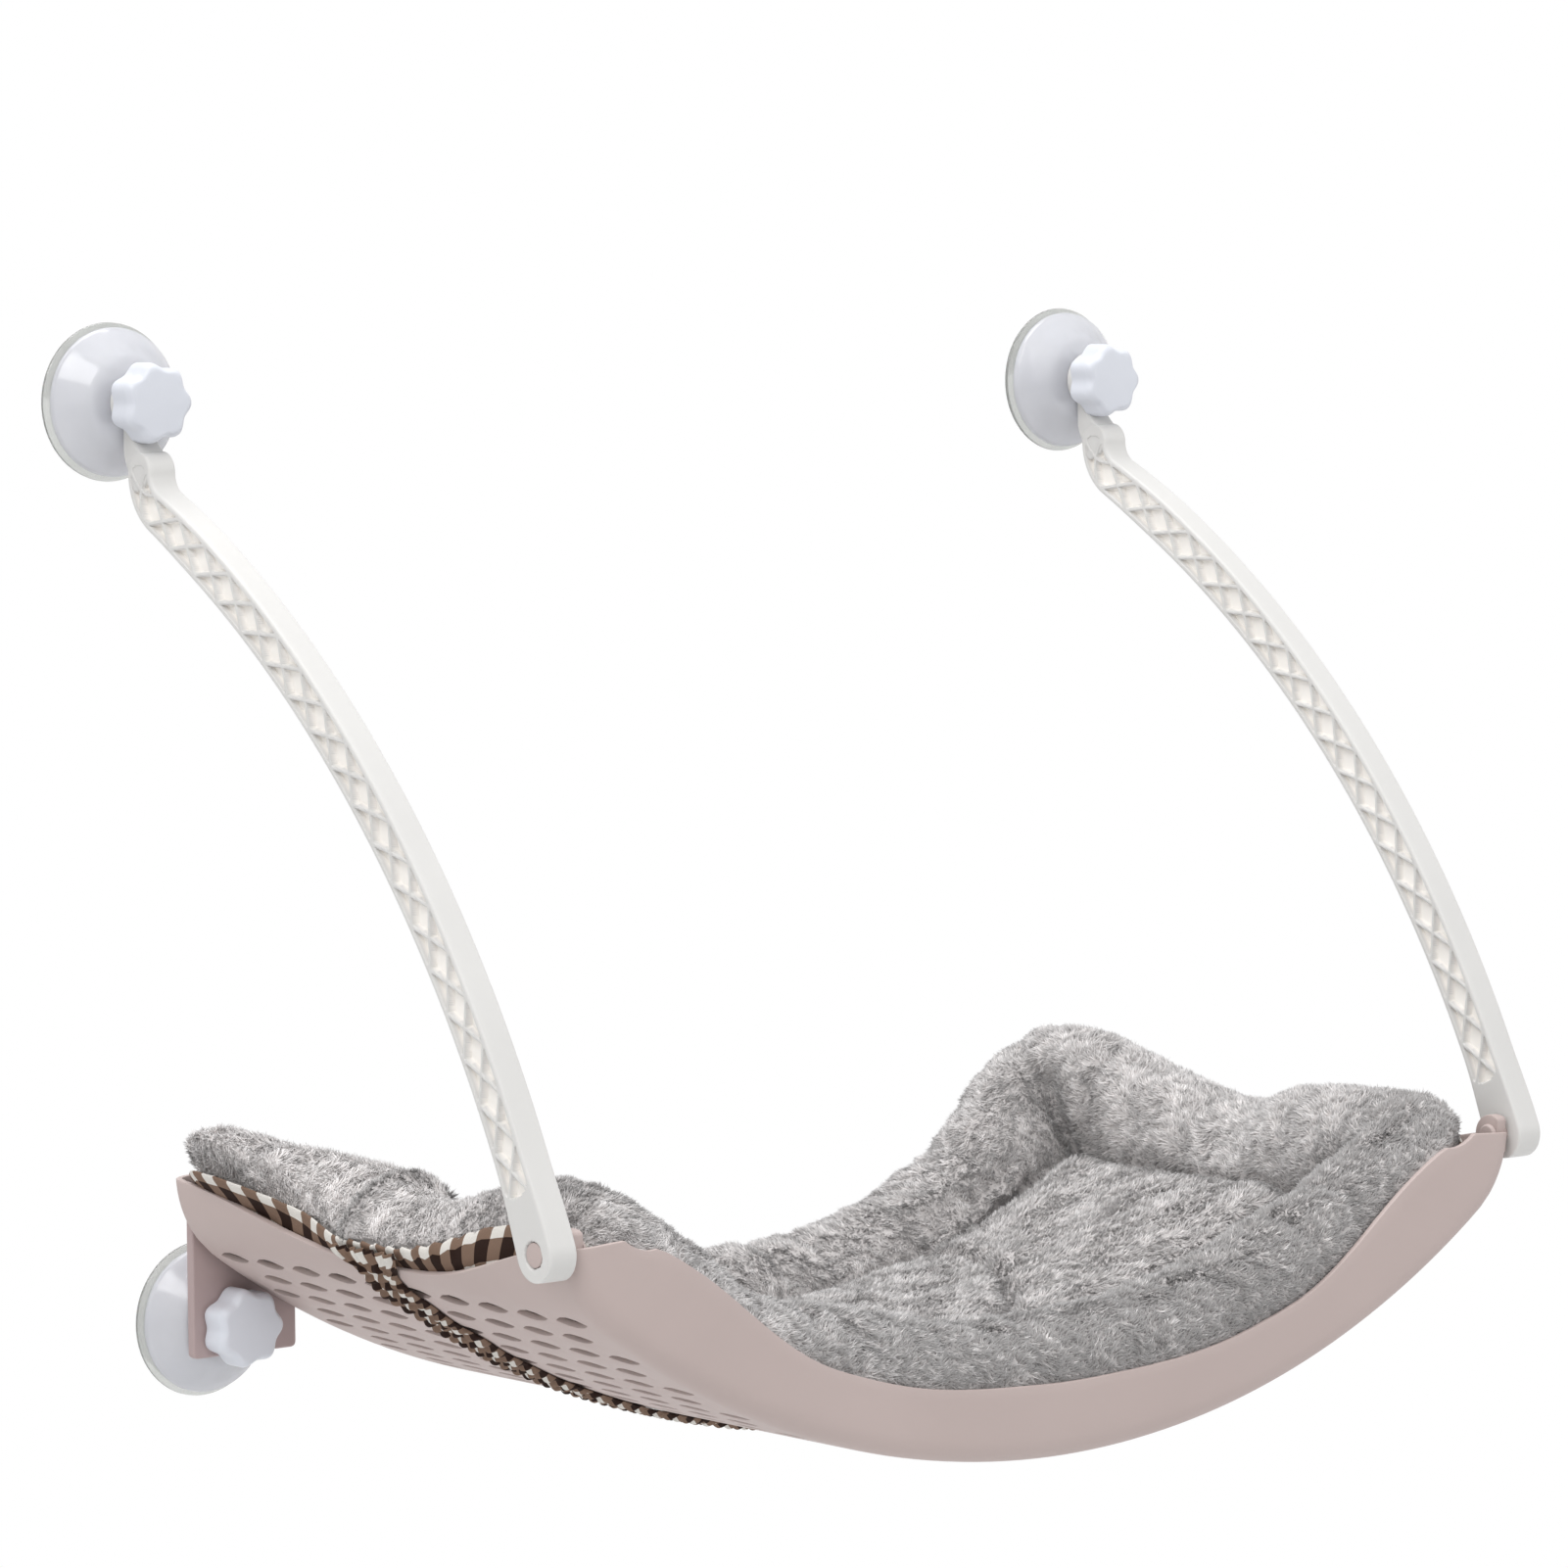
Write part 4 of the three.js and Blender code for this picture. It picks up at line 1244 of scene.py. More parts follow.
    def collar(self) -> list[bpy.types.Object]:
        """The flat ring round the cup's stud and the neck that joins it to the arm's head.

        Returns:
            The two pieces.
        """
        x = self.side.value * self.middle_x
        z = self.head_z + self.collar_rise
        seam = (self.collar_bore + self.seam_offset, self.clamp_front)
        profile = fillet([seam, (self.collar_radius, self.clamp_front), (self.collar_radius, self.clamp_back),
                          (self.collar_bore, self.clamp_back), (self.collar_bore, self.clamp_front), seam],
                         self.collar_round)
        ring = turned(profile, x, z, 72).piece(f"{self.side.word}_collar", crease=30.0)
        head, end = self.head_radius, z - self.collar_bore - self.neck_gap
        outline = fillet([
            (-self.clamp_front, end), (-self.clamp_front, z - self.neck_front),
            (self.head_y + 0.5 * head, self.head_z - 1.1 * head),
            (self.head_y - 0.6 * head, self.head_z - 0.6 * head),
            (self.head_y - 0.92 * head, self.head_z + 0.2 * head),
            (-self.clamp_back, z - self.neck_back), (-self.clamp_back, end)], self.neck_round, 6)
        half = self.neck_width / 2.0
        neck = slab(outline, x - half, x + half, along=0).piece(f"{self.side.word}_neck")
        bevel(neck, self.neck_bevel, 3, 50.0)
        return [ring, neck]

    def build(self, finishes: Finishes) -> None:
        """Builds the arm and marks its recesses for the paler, warmer colour inside them: painted light that offsets
        the shade falling in the recesses.

        Args:
            finishes: The materials.
        """
        piece = united([self.body(), *self.collar()])
        places = np.empty(len(piece.data.vertices) * 3)
        piece.data.vertices.foreach_get("co", places)
        places = places.reshape(-1, 3) / MM
        aside = np.abs(places[:, 0] - self.side.value * self.middle_x)
        share = np.clip(np.abs(aside - self.width / 2.0) / ((self.width - self.web) / 2.0), 0.0, 1.0)
        below = places[:, 2] < self.head_z + self.head_radius
        clear = aside < self.neck_width / 2.0 - self.edge_round
        # The recess attribute marks where that painted light is laid.
        give_values(piece, "recess", np.where(below & clear & self.on_side_face(places), share, 0.0))
        dress(piece, finishes.arm, "arm_plastic", f"{self.side.word}_arm", f"{self.side.word}_arm")

    def on_side_face(self, places: Array) -> Array:
        """Whether each point lies inside the arm's side outline, away from its edges and its foot.

        Args:
            places: Points, in millimetres.

        Returns:
            True where a point does.
        """
        off = np.linalg.norm(places[:, 1:] - self.centre, axis=1) - self.bow_radius
        from_pivot = np.hypot(places[:, 1] - self.pivot_y, places[:, 2] - self.pivot_z)
        return (np.abs(off) < self.half_depth - self.edge_round) & (from_pivot > self.tone_start)


@dataclass
class PivotPin:
    """The pin through an arm's foot, with its round head outside and its barb inside."""

    side: Side
    inner: float
    outer: float
    y: float
    z: float
    radius: float = 4.0
    head_radius: float = 5.4
    head_depth: float = 2.4
    barb_depth: float = 2.0

    def build(self, finishes: Finishes) -> None:
        """Builds the pin: a lathed outline laid along X, its ends slightly domed.

        Args:
            finishes: The materials.
        """
        barb, head = self.inner + self.barb_depth, self.outer - self.head_depth
        profile = fillet([
            (0.0, self.inner), (self.head_radius - 0.8, self.inner), (self.head_radius, barb), (self.radius, barb),
            (self.radius, head), (self.head_radius, head), (self.head_radius, self.outer), (0.0, self.outer)], 0.6, 3)
        skin = turned(profile, 0.0, 0.0, 48)
        x, y, z = skin.points.T
        points = np.stack([-y * self.side.value, self.y + x, self.z + z], axis=-1)
        piece = Skin(points, skin.faces).piece(f"{self.side.word}_arm_pin")
        dress(piece, finishes.tray, "tray_plastic", "tray", f"{self.side.word}_pivot_pin")


@dataclass
class Cup:
    """One suction cup with its cover, stud and knob. Depths are measured from the pane."""

    level: Level
    side: Side
    x: float
    z: float
    radius: float = 36.0
    seal: float = 6.0
    lip_edge: float = 1.3
    lip_shoulder: float = 2.6
    lip_width: float = 2.4
    clearance: float = 0.3
    top: float = 9.6
    top_radius: float = 9.5
    cavity: float = 5.6
    cavity_radius: float = 11.0
    cover_radius: float = 33.8
    cover_wall: float = 2.2
    skirt: float = 2.8
    shoulder: float = 3.8
    hub_radius: float = 10.5
    hub_face: float = 21.4
    hub_depth: float = 3.2
    bore: float = 4.2
    stud_radius: float = 3.9
    stud_base: float = 9.5
    stud_base_depth: float = 2.4
    thread_pitch: float = 2.0
    thread_depth: float = 0.45
    stud_steps: int = 48
    knob_start: float = 27.0
    knob_depth: float = 16.0
    knob_bore: float = 12.0
    knob_radius: float = 18.5
    knob_lobe: float = 2.4
    lobes: int = 7

    @property
    def name(self) -> str:
        """The cup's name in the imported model, such as upper_left."""
        return f"{self.level.value}_{self.side.word}"

    @property
    def carrier(self) -> str:
        """The body that carries the cup."""
        return f"{self.side.word}_arm" if self.level is Level.UPPER else "tray"

    def lathed(self, profile: Array, label: str, crease: float, segments: int = 120) -> bpy.types.Object:
        """A piece turned round the cup's axis from a profile of radii and depths."""
        return turned(profile, self.x, self.z, segments).piece(f"{self.name}_{label}", crease=crease)

    def membrane(self) -> bpy.types.Object:
        """The soft disc: a flat sealing ring, a thin skirt and a thick middle.

        Returns:
            The piece.
        """
        start = (self.cavity_radius + 6.0, self.cavity - 1.6)
        corners = [start, (self.radius - self.seal, 0.0), (self.radius, 0.0), (self.radius, self.lip_edge),
                   (self.radius - self.lip_width, self.lip_shoulder), (self.top_radius, self.top),
                   (self.bore, self.top), (self.bore, self.cavity), (self.cavity_radius, self.cavity), start]
        return self.lathed(fillet(corners, 0.6, 3), "soft_disc", 50.0)

    def cover(self) -> bpy.types.Object:
        """The dome: a skirt, a round shoulder and a hub, of even wall.

        Returns:
            The piece.
        """
        slope = (self.top - self.lip_shoulder) / (self.radius - self.lip_width - self.top_radius)
        inner = self.cover_radius - self.cover_wall
        rim = self.lip_shoulder + slope * (self.radius - self.lip_width - inner) + self.clearance
        shoulder = rim + self.skirt + self.shoulder
        dome_radius = mix(self.hub_radius, self.cover_radius - self.shoulder, 0.5)
        dome_depth = mix(shoulder, self.hub_face, 0.78)
        corners = [
            (inner, rim + 1.0), (inner, rim), (self.cover_radius, rim), (self.cover_radius, rim + self.skirt),
            (self.cover_radius - self.shoulder, shoulder), (dome_radius, dome_depth),
            (self.hub_radius, self.hub_face), (self.bore, self.hub_face),
            (self.bore, self.hub_face - self.hub_depth), (dome_radius, dome_depth - self.cover_wall),
            (inner - self.shoulder, shoulder - self.cover_wall), (inner, rim + 1.0)]
        return self.lathed(fillet(corners, 3.0, 5), "dome", 40.0)

    def stud(self) -> bpy.types.Object:
        """The stud: a round base and a shaft whose thread is a helix of triangular section.

        The shaft's radius falls by the thread's depth times a triangle wave of the depth along
        it less the turn round it.

        Returns:
            The piece.
        """
        foot = self.cavity - self.clearance
        end = self.knob_start + self.knob_bore - 0.5
        base = fillet([(0.0, foot - self.stud_base_depth), (self.stud_base, foot - self.stud_base_depth),
                       (self.stud_base, foot), (self.stud_radius, foot), (self.stud_radius, foot + 1.0)], 0.5, 3)
        depth = np.arange(foot + 1.2, end - 0.9, self.thread_pitch / 8.0)
        turn = (depth[:, None] / self.thread_pitch - np.arange(self.stud_steps) / self.stud_steps) % 1.0
        wave = 1.0 - np.abs(2.0 * turn - 1.0)
        ends = np.minimum(smoothstep(depth, depth[0], depth[0] + 1.0),
                          smoothstep(-depth, -depth[-1], 1.0 - depth[-1]))
        thread = self.stud_radius - self.thread_depth * wave * ends[:, None]
        tip = fillet([(self.stud_radius, end - 0.8), (self.stud_radius - 0.7, end), (0.0, end)], 0.2, 2)
        base_radius, tip_radius = (np.tile(part[:, :1], self.stud_steps) for part in (base, tip))
        skin = lathe(np.concatenate([base_radius, thread, tip_radius]),
                     np.concatenate([base[:, 1], depth, tip[:, 1]]), self.x, self.z, self.stud_steps)
        return skin.piece(f"{self.name}_threaded_stud", crease=50.0)

    def knob(self) -> bpy.types.Object:
        """The knob: a lathed outline whose radius swells and shrinks seven times round.

        The radius at an angle is the outline's, less a lobe depth that grows with the outline's
        distance from the axis.

        Returns:
            The piece.
        """
        radius, start, end = self.knob_radius, self.knob_start, self.knob_start + self.knob_depth
        outline = fillet([(self.bore, start + 2.0), (self.bore, start), (radius - 1.6, start), (radius, start + 1.4),
                          (radius, end - 3.0), (radius - 2.4, end), (0.0, end)], 2.2, 6)
        bore = [(0.0, start + self.knob_bore), (self.bore, start + self.knob_bore)]
        profile = np.concatenate([bore, outline])
        segments = self.lobes * 24
        angle = np.arange(segments) * 2.0 * math.pi / segments
        reach = profile[:, :1]
        wave = (1.0 - np.cos(self.lobes * angle)) / 2.0
        swell = reach - self.knob_lobe * smoothstep(reach, 0.55 * radius, radius) * wave
        return lathe(swell, profile[:, 1], self.x, self.z, segments).piece(f"{self.name}_lobed_knob", crease=45.0)

    def build(self, finishes: Finishes) -> None:
        """Builds and dresses the four pieces.

        Args:
            finishes: The materials.
        """
        dress(self.membrane(), finishes.membrane, "clear_rubber", self.carrier, f"{self.name}_cup_membrane")
        dress(self.cover(), finishes.cover, "cover_plastic", self.carrier, f"{self.name}_cup_cover")
        dress(self.stud(), finishes.steel, "steel", f"{self.name}_stud", f"{self.name}_cup_stud")
        dress(self.knob(), finishes.knob, "knob_plastic", f"{self.name}_knob", f"{self.name}_cup_knob")


@dataclass
class Bracket:
    """The plate that holds a lower cup to the tray's back wall, with its two sunk screws."""

    side: Side
    low: Array
    high: Array
    corner: float = 3.0
    edge_bevel: float = 0.9
    screw_radius: float = 1.5
    screw_head: float = 3.4
    screw_head_depth: float = 2.0

    def build(self, finishes: Finishes) -> None:
        """Builds the plate and the screws.

        Args:
            finishes: The materials.
        """
        (x0, near, bottom), (x1, far, top) = self.low, self.high
        seam = ((x0 + x1) / 2.0, top)
        outline = fillet([seam, (x0, top), (x0, bottom), (x1, bottom), (x1, top), seam], self.corner, 8)[:-1]
        plate = slab(outline, near, far, along=1).piece(f"{self.side.word}_bracket_plate")
        bevel(plate, self.edge_bevel, 3)
        dress(plate, finishes.bracket, "tray_plastic", "tray", f"{self.side.word}_wall_bracket")
        for place in ("outer", "inner"):
            self.screw(f"{self.side.word}_bracket_screw_{place}", finishes)

    def screw(self, node: str, finishes: Finishes) -> None:
        """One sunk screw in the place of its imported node.

        Args:
            node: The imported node.
            finishes: The materials.
        """
        low, high = box_mm(node)
        x, _, z = (low + high) / 2.0
        tip, face = -high[1], -low[1]
        corners = [(0.0, tip), (self.screw_radius, tip), (self.screw_radius, face - self.screw_head_depth),
                   (self.screw_head, face - 0.1), (0.0, face - 0.1)]
        piece = turned(fillet(corners, 0.3, 2), x, z, 32).piece(f"{node}_turned", crease=35.0)
        dress(piece, finishes.steel, "steel", "tray", node)


@dataclass
class CushionForm:
    """The cushion's plan and section, laid on the tray's floor arc, in millimetres."""

    tray: TrayForm
    half_length: float = 306.1
    half_depth: float = 148.5
    bolster_half: float = 33.0
    bolster_height: float = 56.0
    corner: float = 42.0
    squareness: float = 4.0
    long_seam: float = 0.44
    hidden_seam: float = 0.34
    cloth_foot: float = 3.5
    foot: float = 5.8
    spacing: float = 3.2

    def path(self) -> tuple[Array, Array, Array]:
        """The bolster's centre line: a rounded rectangle in arc length and depth.

        Returns:
            Its points, the outward direction at each, and the length along it.
        """
        a = self.half_length - self.bolster_half - self.corner
        b = self.half_depth - self.bolster_half - self.corner
        quarter = self.corner * math.pi / 2.0
        lengths = np.array([2 * b, quarter, 2 * a, quarter, 2 * b, quarter, 2 * a, quarter])
        total = lengths.sum()
        count = int(round(total / self.spacing))
        along = np.arange(count) * total / count
        ends = np.cumsum(lengths)
        stretch = np.searchsorted(ends, along, side="right")
        rest = along - (ends - lengths)[stretch]
        starts = np.array([(a, -b), (a, b), (a, b), (-a, b), (-a, b), (-a, -b), (-a, -b), (a, -b)], float)
        turns = np.array([0, 0, 1, 1, 2, 2, 3, 3]) * math.pi / 2.0
        rounding = stretch % 2 == 1
        angle = turns[stretch] + np.where(rounding, rest / self.corner, 0.0)
        out = np.stack([np.cos(angle), np.sin(angle)], axis=-1)
        forward = np.stack([-np.sin(turns[stretch]), np.cos(turns[stretch])], axis=-1)
        base = starts[stretch] + np.where(rounding, 0.0, rest)[:, None] * forward
        return base + self.corner * out, out, along

    def stretch(self, out: Array) -> Array:
        """How far the bolster's outer half is stretched, for squarer corners than the path's.

        The outer side keeps to the superellipse that spans the corner's circle.

        Args:
            out: Outward directions along the path.

        Returns:
            The factor on the half width, 1 along the straight sides.
        """
        reach = self.corner + self.bolster_half
        square = reach * (np.abs(out) ** self.squareness).sum(axis=1) ** (-1.0 / self.squareness)
        return (square - self.corner) / self.bolster_half

    def seam(self, place: Array) -> Array:
        """Height of the seam between cloth and plush, as a share of the bolster's height.

        It runs low over the middle of each short side, where the strap draws the plush down, and
        rises faster towards the pane than towards the room.

        Args:
            place: Points of the centre line.

        Returns:
            The share at each point.
        """
        back = np.where(place[:, 0] < 0.0, 0.13, 0.28) * smoothstep(place[:, 1], 20.0, 60.0)
        front = 0.34 * smoothstep(-place[:, 1], 15.0, 100.0)
        short = smoothstep(np.abs(place[:, 0]) / self.half_length, 0.80, 0.885)
        return mix(np.full(len(place), self.hidden_seam), 0.06 + back + front, short)

    def crown(self, place: Array) -> Array:
        """How much higher or lower than its normal height the bolster's crown is.

        It stands up at the four corners, is held down by the strap in the middle of both short
        sides, and sinks a little along the middle of the long sides.

        Args:
            place: Points of the centre line.

        Returns:
            The change of height.
        """
        along = place[:, 0] / self.half_length
        across = place[:, 1] / self.half_depth
        back = smoothstep(across, 0.0, 0.6)
        right = smoothstep(along, 0.0, 0.6)
        corner = smoothstep(np.abs(along), 0.55, 0.86) * smoothstep(np.abs(across), 0.22, 0.7)
        rise = mix(mix(4.0, -23.0, back), mix(-4.0, 13.0, back), right)
        peak = back * mix(13.0 * self.bell(place, 30.0), 9.0 * self.bell(place, 48.0), right)
        low = 10.0 * (1.0 - back) * (1.0 - right) * np.exp(-(((along + 0.68) / 0.13) ** 2))
        dip = 1.0 - smoothstep(np.abs(across + 0.05), 0.0, mix(0.5, 0.36, right))
        return rise * corner + peak - low - 14.0 * smoothstep(np.abs(along), 0.8, 0.88) * dip

    def bell(self, place: Array, width: float) -> Array:
        """A bell over each corner's diagonal, from 0 to 1, by the distance along the plan.

        Args:
            place: Points of the centre line.
            width: The bell's width, in millimetres.

        Returns:
            The bell at each point.
        """
        a = self.half_length - self.bolster_half
        b = self.half_depth - self.bolster_half
        knee = self.corner * (1.0 - math.sqrt(0.5))
        distance = np.hypot(np.abs(place[:, 0]) - (a - knee), np.abs(place[:, 1]) - (b - knee))
        return np.exp(-((distance / width) ** 2))

    def flare(self, place: Array) -> Array:
        """How far each corner leans out over the tray's ear: most at the left near the pane.

        Args:
            place: Points of the centre line.

        Returns:
            The lean at each point.
        """
        back, right = place[:, 1] > 0.0, place[:, 0] > 0.0
        reach = np.where(back, np.where(right, 6.0, 38.0), np.where(right, 10.0, 6.0))
        return reach * self.bell(place, 36.0)


@dataclass(frozen=True)
class Coat:
    """A plush surface as a grid, round by across by three, how its pile stands there and how much painted shade it
    gets.
    """

    surface: Array
    weight: Array
    shade: Array
    flow: Array

    def faces(self) -> tuple[Array, Array]:
        """The quads of the grid closed round, and each one's normal times twice its area.

        Returns:
            The quads and the normals.
        """
        rows, columns, _ = self.surface.shape
        quads = grid_quads(rows, columns, wrap_rows=True)
        a, b, c, d = (self.surface.reshape(-1, 3)[quads[:, k]] for k in range(4))
        return quads, np.cross(c - a, d - b)

    def outward(self) -> Coat:
        """The same coat with its quads facing out, which the highest of them show by facing up.

        Returns:
            This coat, or one with its grid reversed.
        """
        quads, normal = self.faces()
        level = self.surface.reshape(-1, 3)[quads[:, 0], 2]
        if normal[level > np.quantile(self.surface[..., 2], 0.97), 2].mean() > 0.0:
            return self
        return Coat(*(part[:, ::-1] for part in (self.surface, self.weight, self.shade, self.flow)))


@dataclass
class Pile:
    """Fine locks of plush that lie on a surface, each a three-sided spike."""

    length: float = 3.8
    width: float = 1.15
    softness: float = 0.5
    sunk: float = 0.6
    count: int = 46000
    seed: int = 7

    def locks(self, points: Array, normals: Array, flow: Array, seed: int) -> Array:
        """Grows one lock on each point: a three-cornered base under the surface and a tip.

        The tip leans over by about an angle of one radian. The lean is the surface's flow turned
        by smooth noise, so that neighbours gather into clumps.

        Args:
            points: Root places, in millimetres.
            normals: Unit normals there.
            flow: Directions that the pile is brushed in.
            seed: What the small differences are drawn from.

        Returns:
            The points, locks by four by three, the tip last.
        """
        rng = np.random.default_rng(seed)
        count = len(points)
        side = unit(np.cross(normals, flow))
        ahead = np.cross(side, normals)
        swirl = 1.1 * waves(points, 30.0, self.seed + 1) + 1.2 * waves(points, 8.0, self.seed + 2)
        swirl = (swirl + rng.normal(0.0, 0.3, count))[:, None]
        way = np.cos(swirl) * ahead + np.sin(swirl) * side
        lean = (1.02 + 0.24 * waves(points, 8.0, self.seed + 3) + rng.normal(0.0, 0.1, count))[:, None]
        size = self.length * (1.0 + 0.16 * waves(points, 7.0, self.seed + 4) + rng.normal(0.0, 0.12, count))
        tip = points + size[:, None] * (normals * np.cos(lean) + way * np.sin(lean))
        spin = rng.uniform(0.0, 2.0 * math.pi, count)[:, None] + np.arange(3) * 2.0 * math.pi / 3.0
        reach = self.width / 2.0 * np.stack([np.cos(spin), np.sin(spin)], axis=-1)
        root = (points - normals * self.sunk)[:, None]
        base = root + reach[..., :1] * side[:, None] + reach[..., 1:] * ahead[:, None]
        return np.concatenate([base, tip[:, None]], axis=1)

    def tones(self, points: Array, shade: Array, seed: int) -> Array:
        """How pale each lock is, from 0 to the palest: smooth noise, less the shade.

        Towards the room at the right the pile gets painted shade, with its noise made stronger,
        and at the left by the pane it gets painted light.

        Args:
            points: Root places, in millimetres.
            shade: How much painted shade the pile gets there.
            seed: What the small differences are drawn from.

        Returns:
            The tones.
        """
        rng = np.random.default_rng(seed)
        # Painted shade towards the room at the right, and painted light at the left by the pane.
        painted_shade_front_right = smoothstep(-points[:, 1], 255.0, 305.0) * smoothstep(points[:, 0], -220.0, 60.0)
        painted_light_by_pane = smoothstep(-points[:, 0], -40.0, 150.0) * smoothstep(points[:, 1], -300.0, -170.0)
        bent = points + 7.0 * np.stack([waves(points, 26.0, self.seed + k) for k in (7, 8, 9)], axis=-1)
        mood = 0.36 * waves(bent, 9.0, self.seed + 5) + 0.2 * waves(bent, 4.0, self.seed + 6)
        mood = 0.46 + (1.0 + 1.1 * painted_shade_front_right) * (mood + rng.normal(0.0, 0.22, len(points)))
        return np.clip(mood + 0.66 * painted_light_by_pane - 0.98 * painted_shade_front_right - shade, 0.0, PALEST)

    def grow(self, name: str, coat: Coat, keep: Array, seed: int) -> bpy.types.Object:
        """Scatters locks over a coat's grid, whose last row joins its first, as one piece.

        Its shading is half that of the surface under it and half that of the locks' own sides,
        which is softer, as pile is.

        Args:
            name: The piece's name.
            coat: The surface and how its pile stands, its quads facing out.
            keep: Which grid points this piece covers.
            seed: What the locks' places are drawn from.

        Returns:
            The piece.
        """
        rng = np.random.default_rng(seed)
        quads, normal = coat.faces()
        area = np.linalg.norm(normal, axis=1)
        a, b, c, d = (coat.surface.reshape(-1, 3)[quads[:, k]] for k in range(4))
        weight = np.where(keep, coat.weight, 0.0)
        chance = area * weight.reshape(-1)[quads].mean(axis=1)
        chosen = rng.choice(len(quads), size=self.count, p=chance / chance.sum())
        u, v = rng.uniform(size=(2, self.count, 1))
        spots = mix(mix(a[chosen], b[chosen], u), mix(d[chosen], c[chosen], u), v)
        normals = unit(normal[chosen])
        points = self.locks(spots, normals, coat.flow.reshape(-1, 3)[quads[chosen, 0]], seed + 1)
        tone = self.tones(spots, coat.shade.reshape(-1)[quads[chosen]].mean(axis=1), seed + 2)
        start = (np.arange(self.count) * 4)[:, None]
        faces = [start + np.array(f)[None, :] for f in ((1, 0, 3), (2, 1, 3), (0, 2, 3), (0, 1, 2))]
        skin = Skin(points.reshape(-1, 3), [np.concatenate(faces)])
        piece = skin.piece(name, weld=0.0, crease=None, outward=False)
        give_values(piece, "rise", np.tile([0.0, 0.0, 0.0, 1.0], self.count))
        give_values(piece, "tone", np.repeat(tone, 4))
        own = np.empty(self.count * 12, np.float32)
        piece.data.vertex_normals.foreach_get("vector", own)
        soft = np.repeat(normals, 4, axis=0) * self.softness + own.reshape(-1, 3) * (1.0 - self.softness)
        piece.data.normals_split_custom_set_from_vertices(unit(soft).tolist())
        return piece


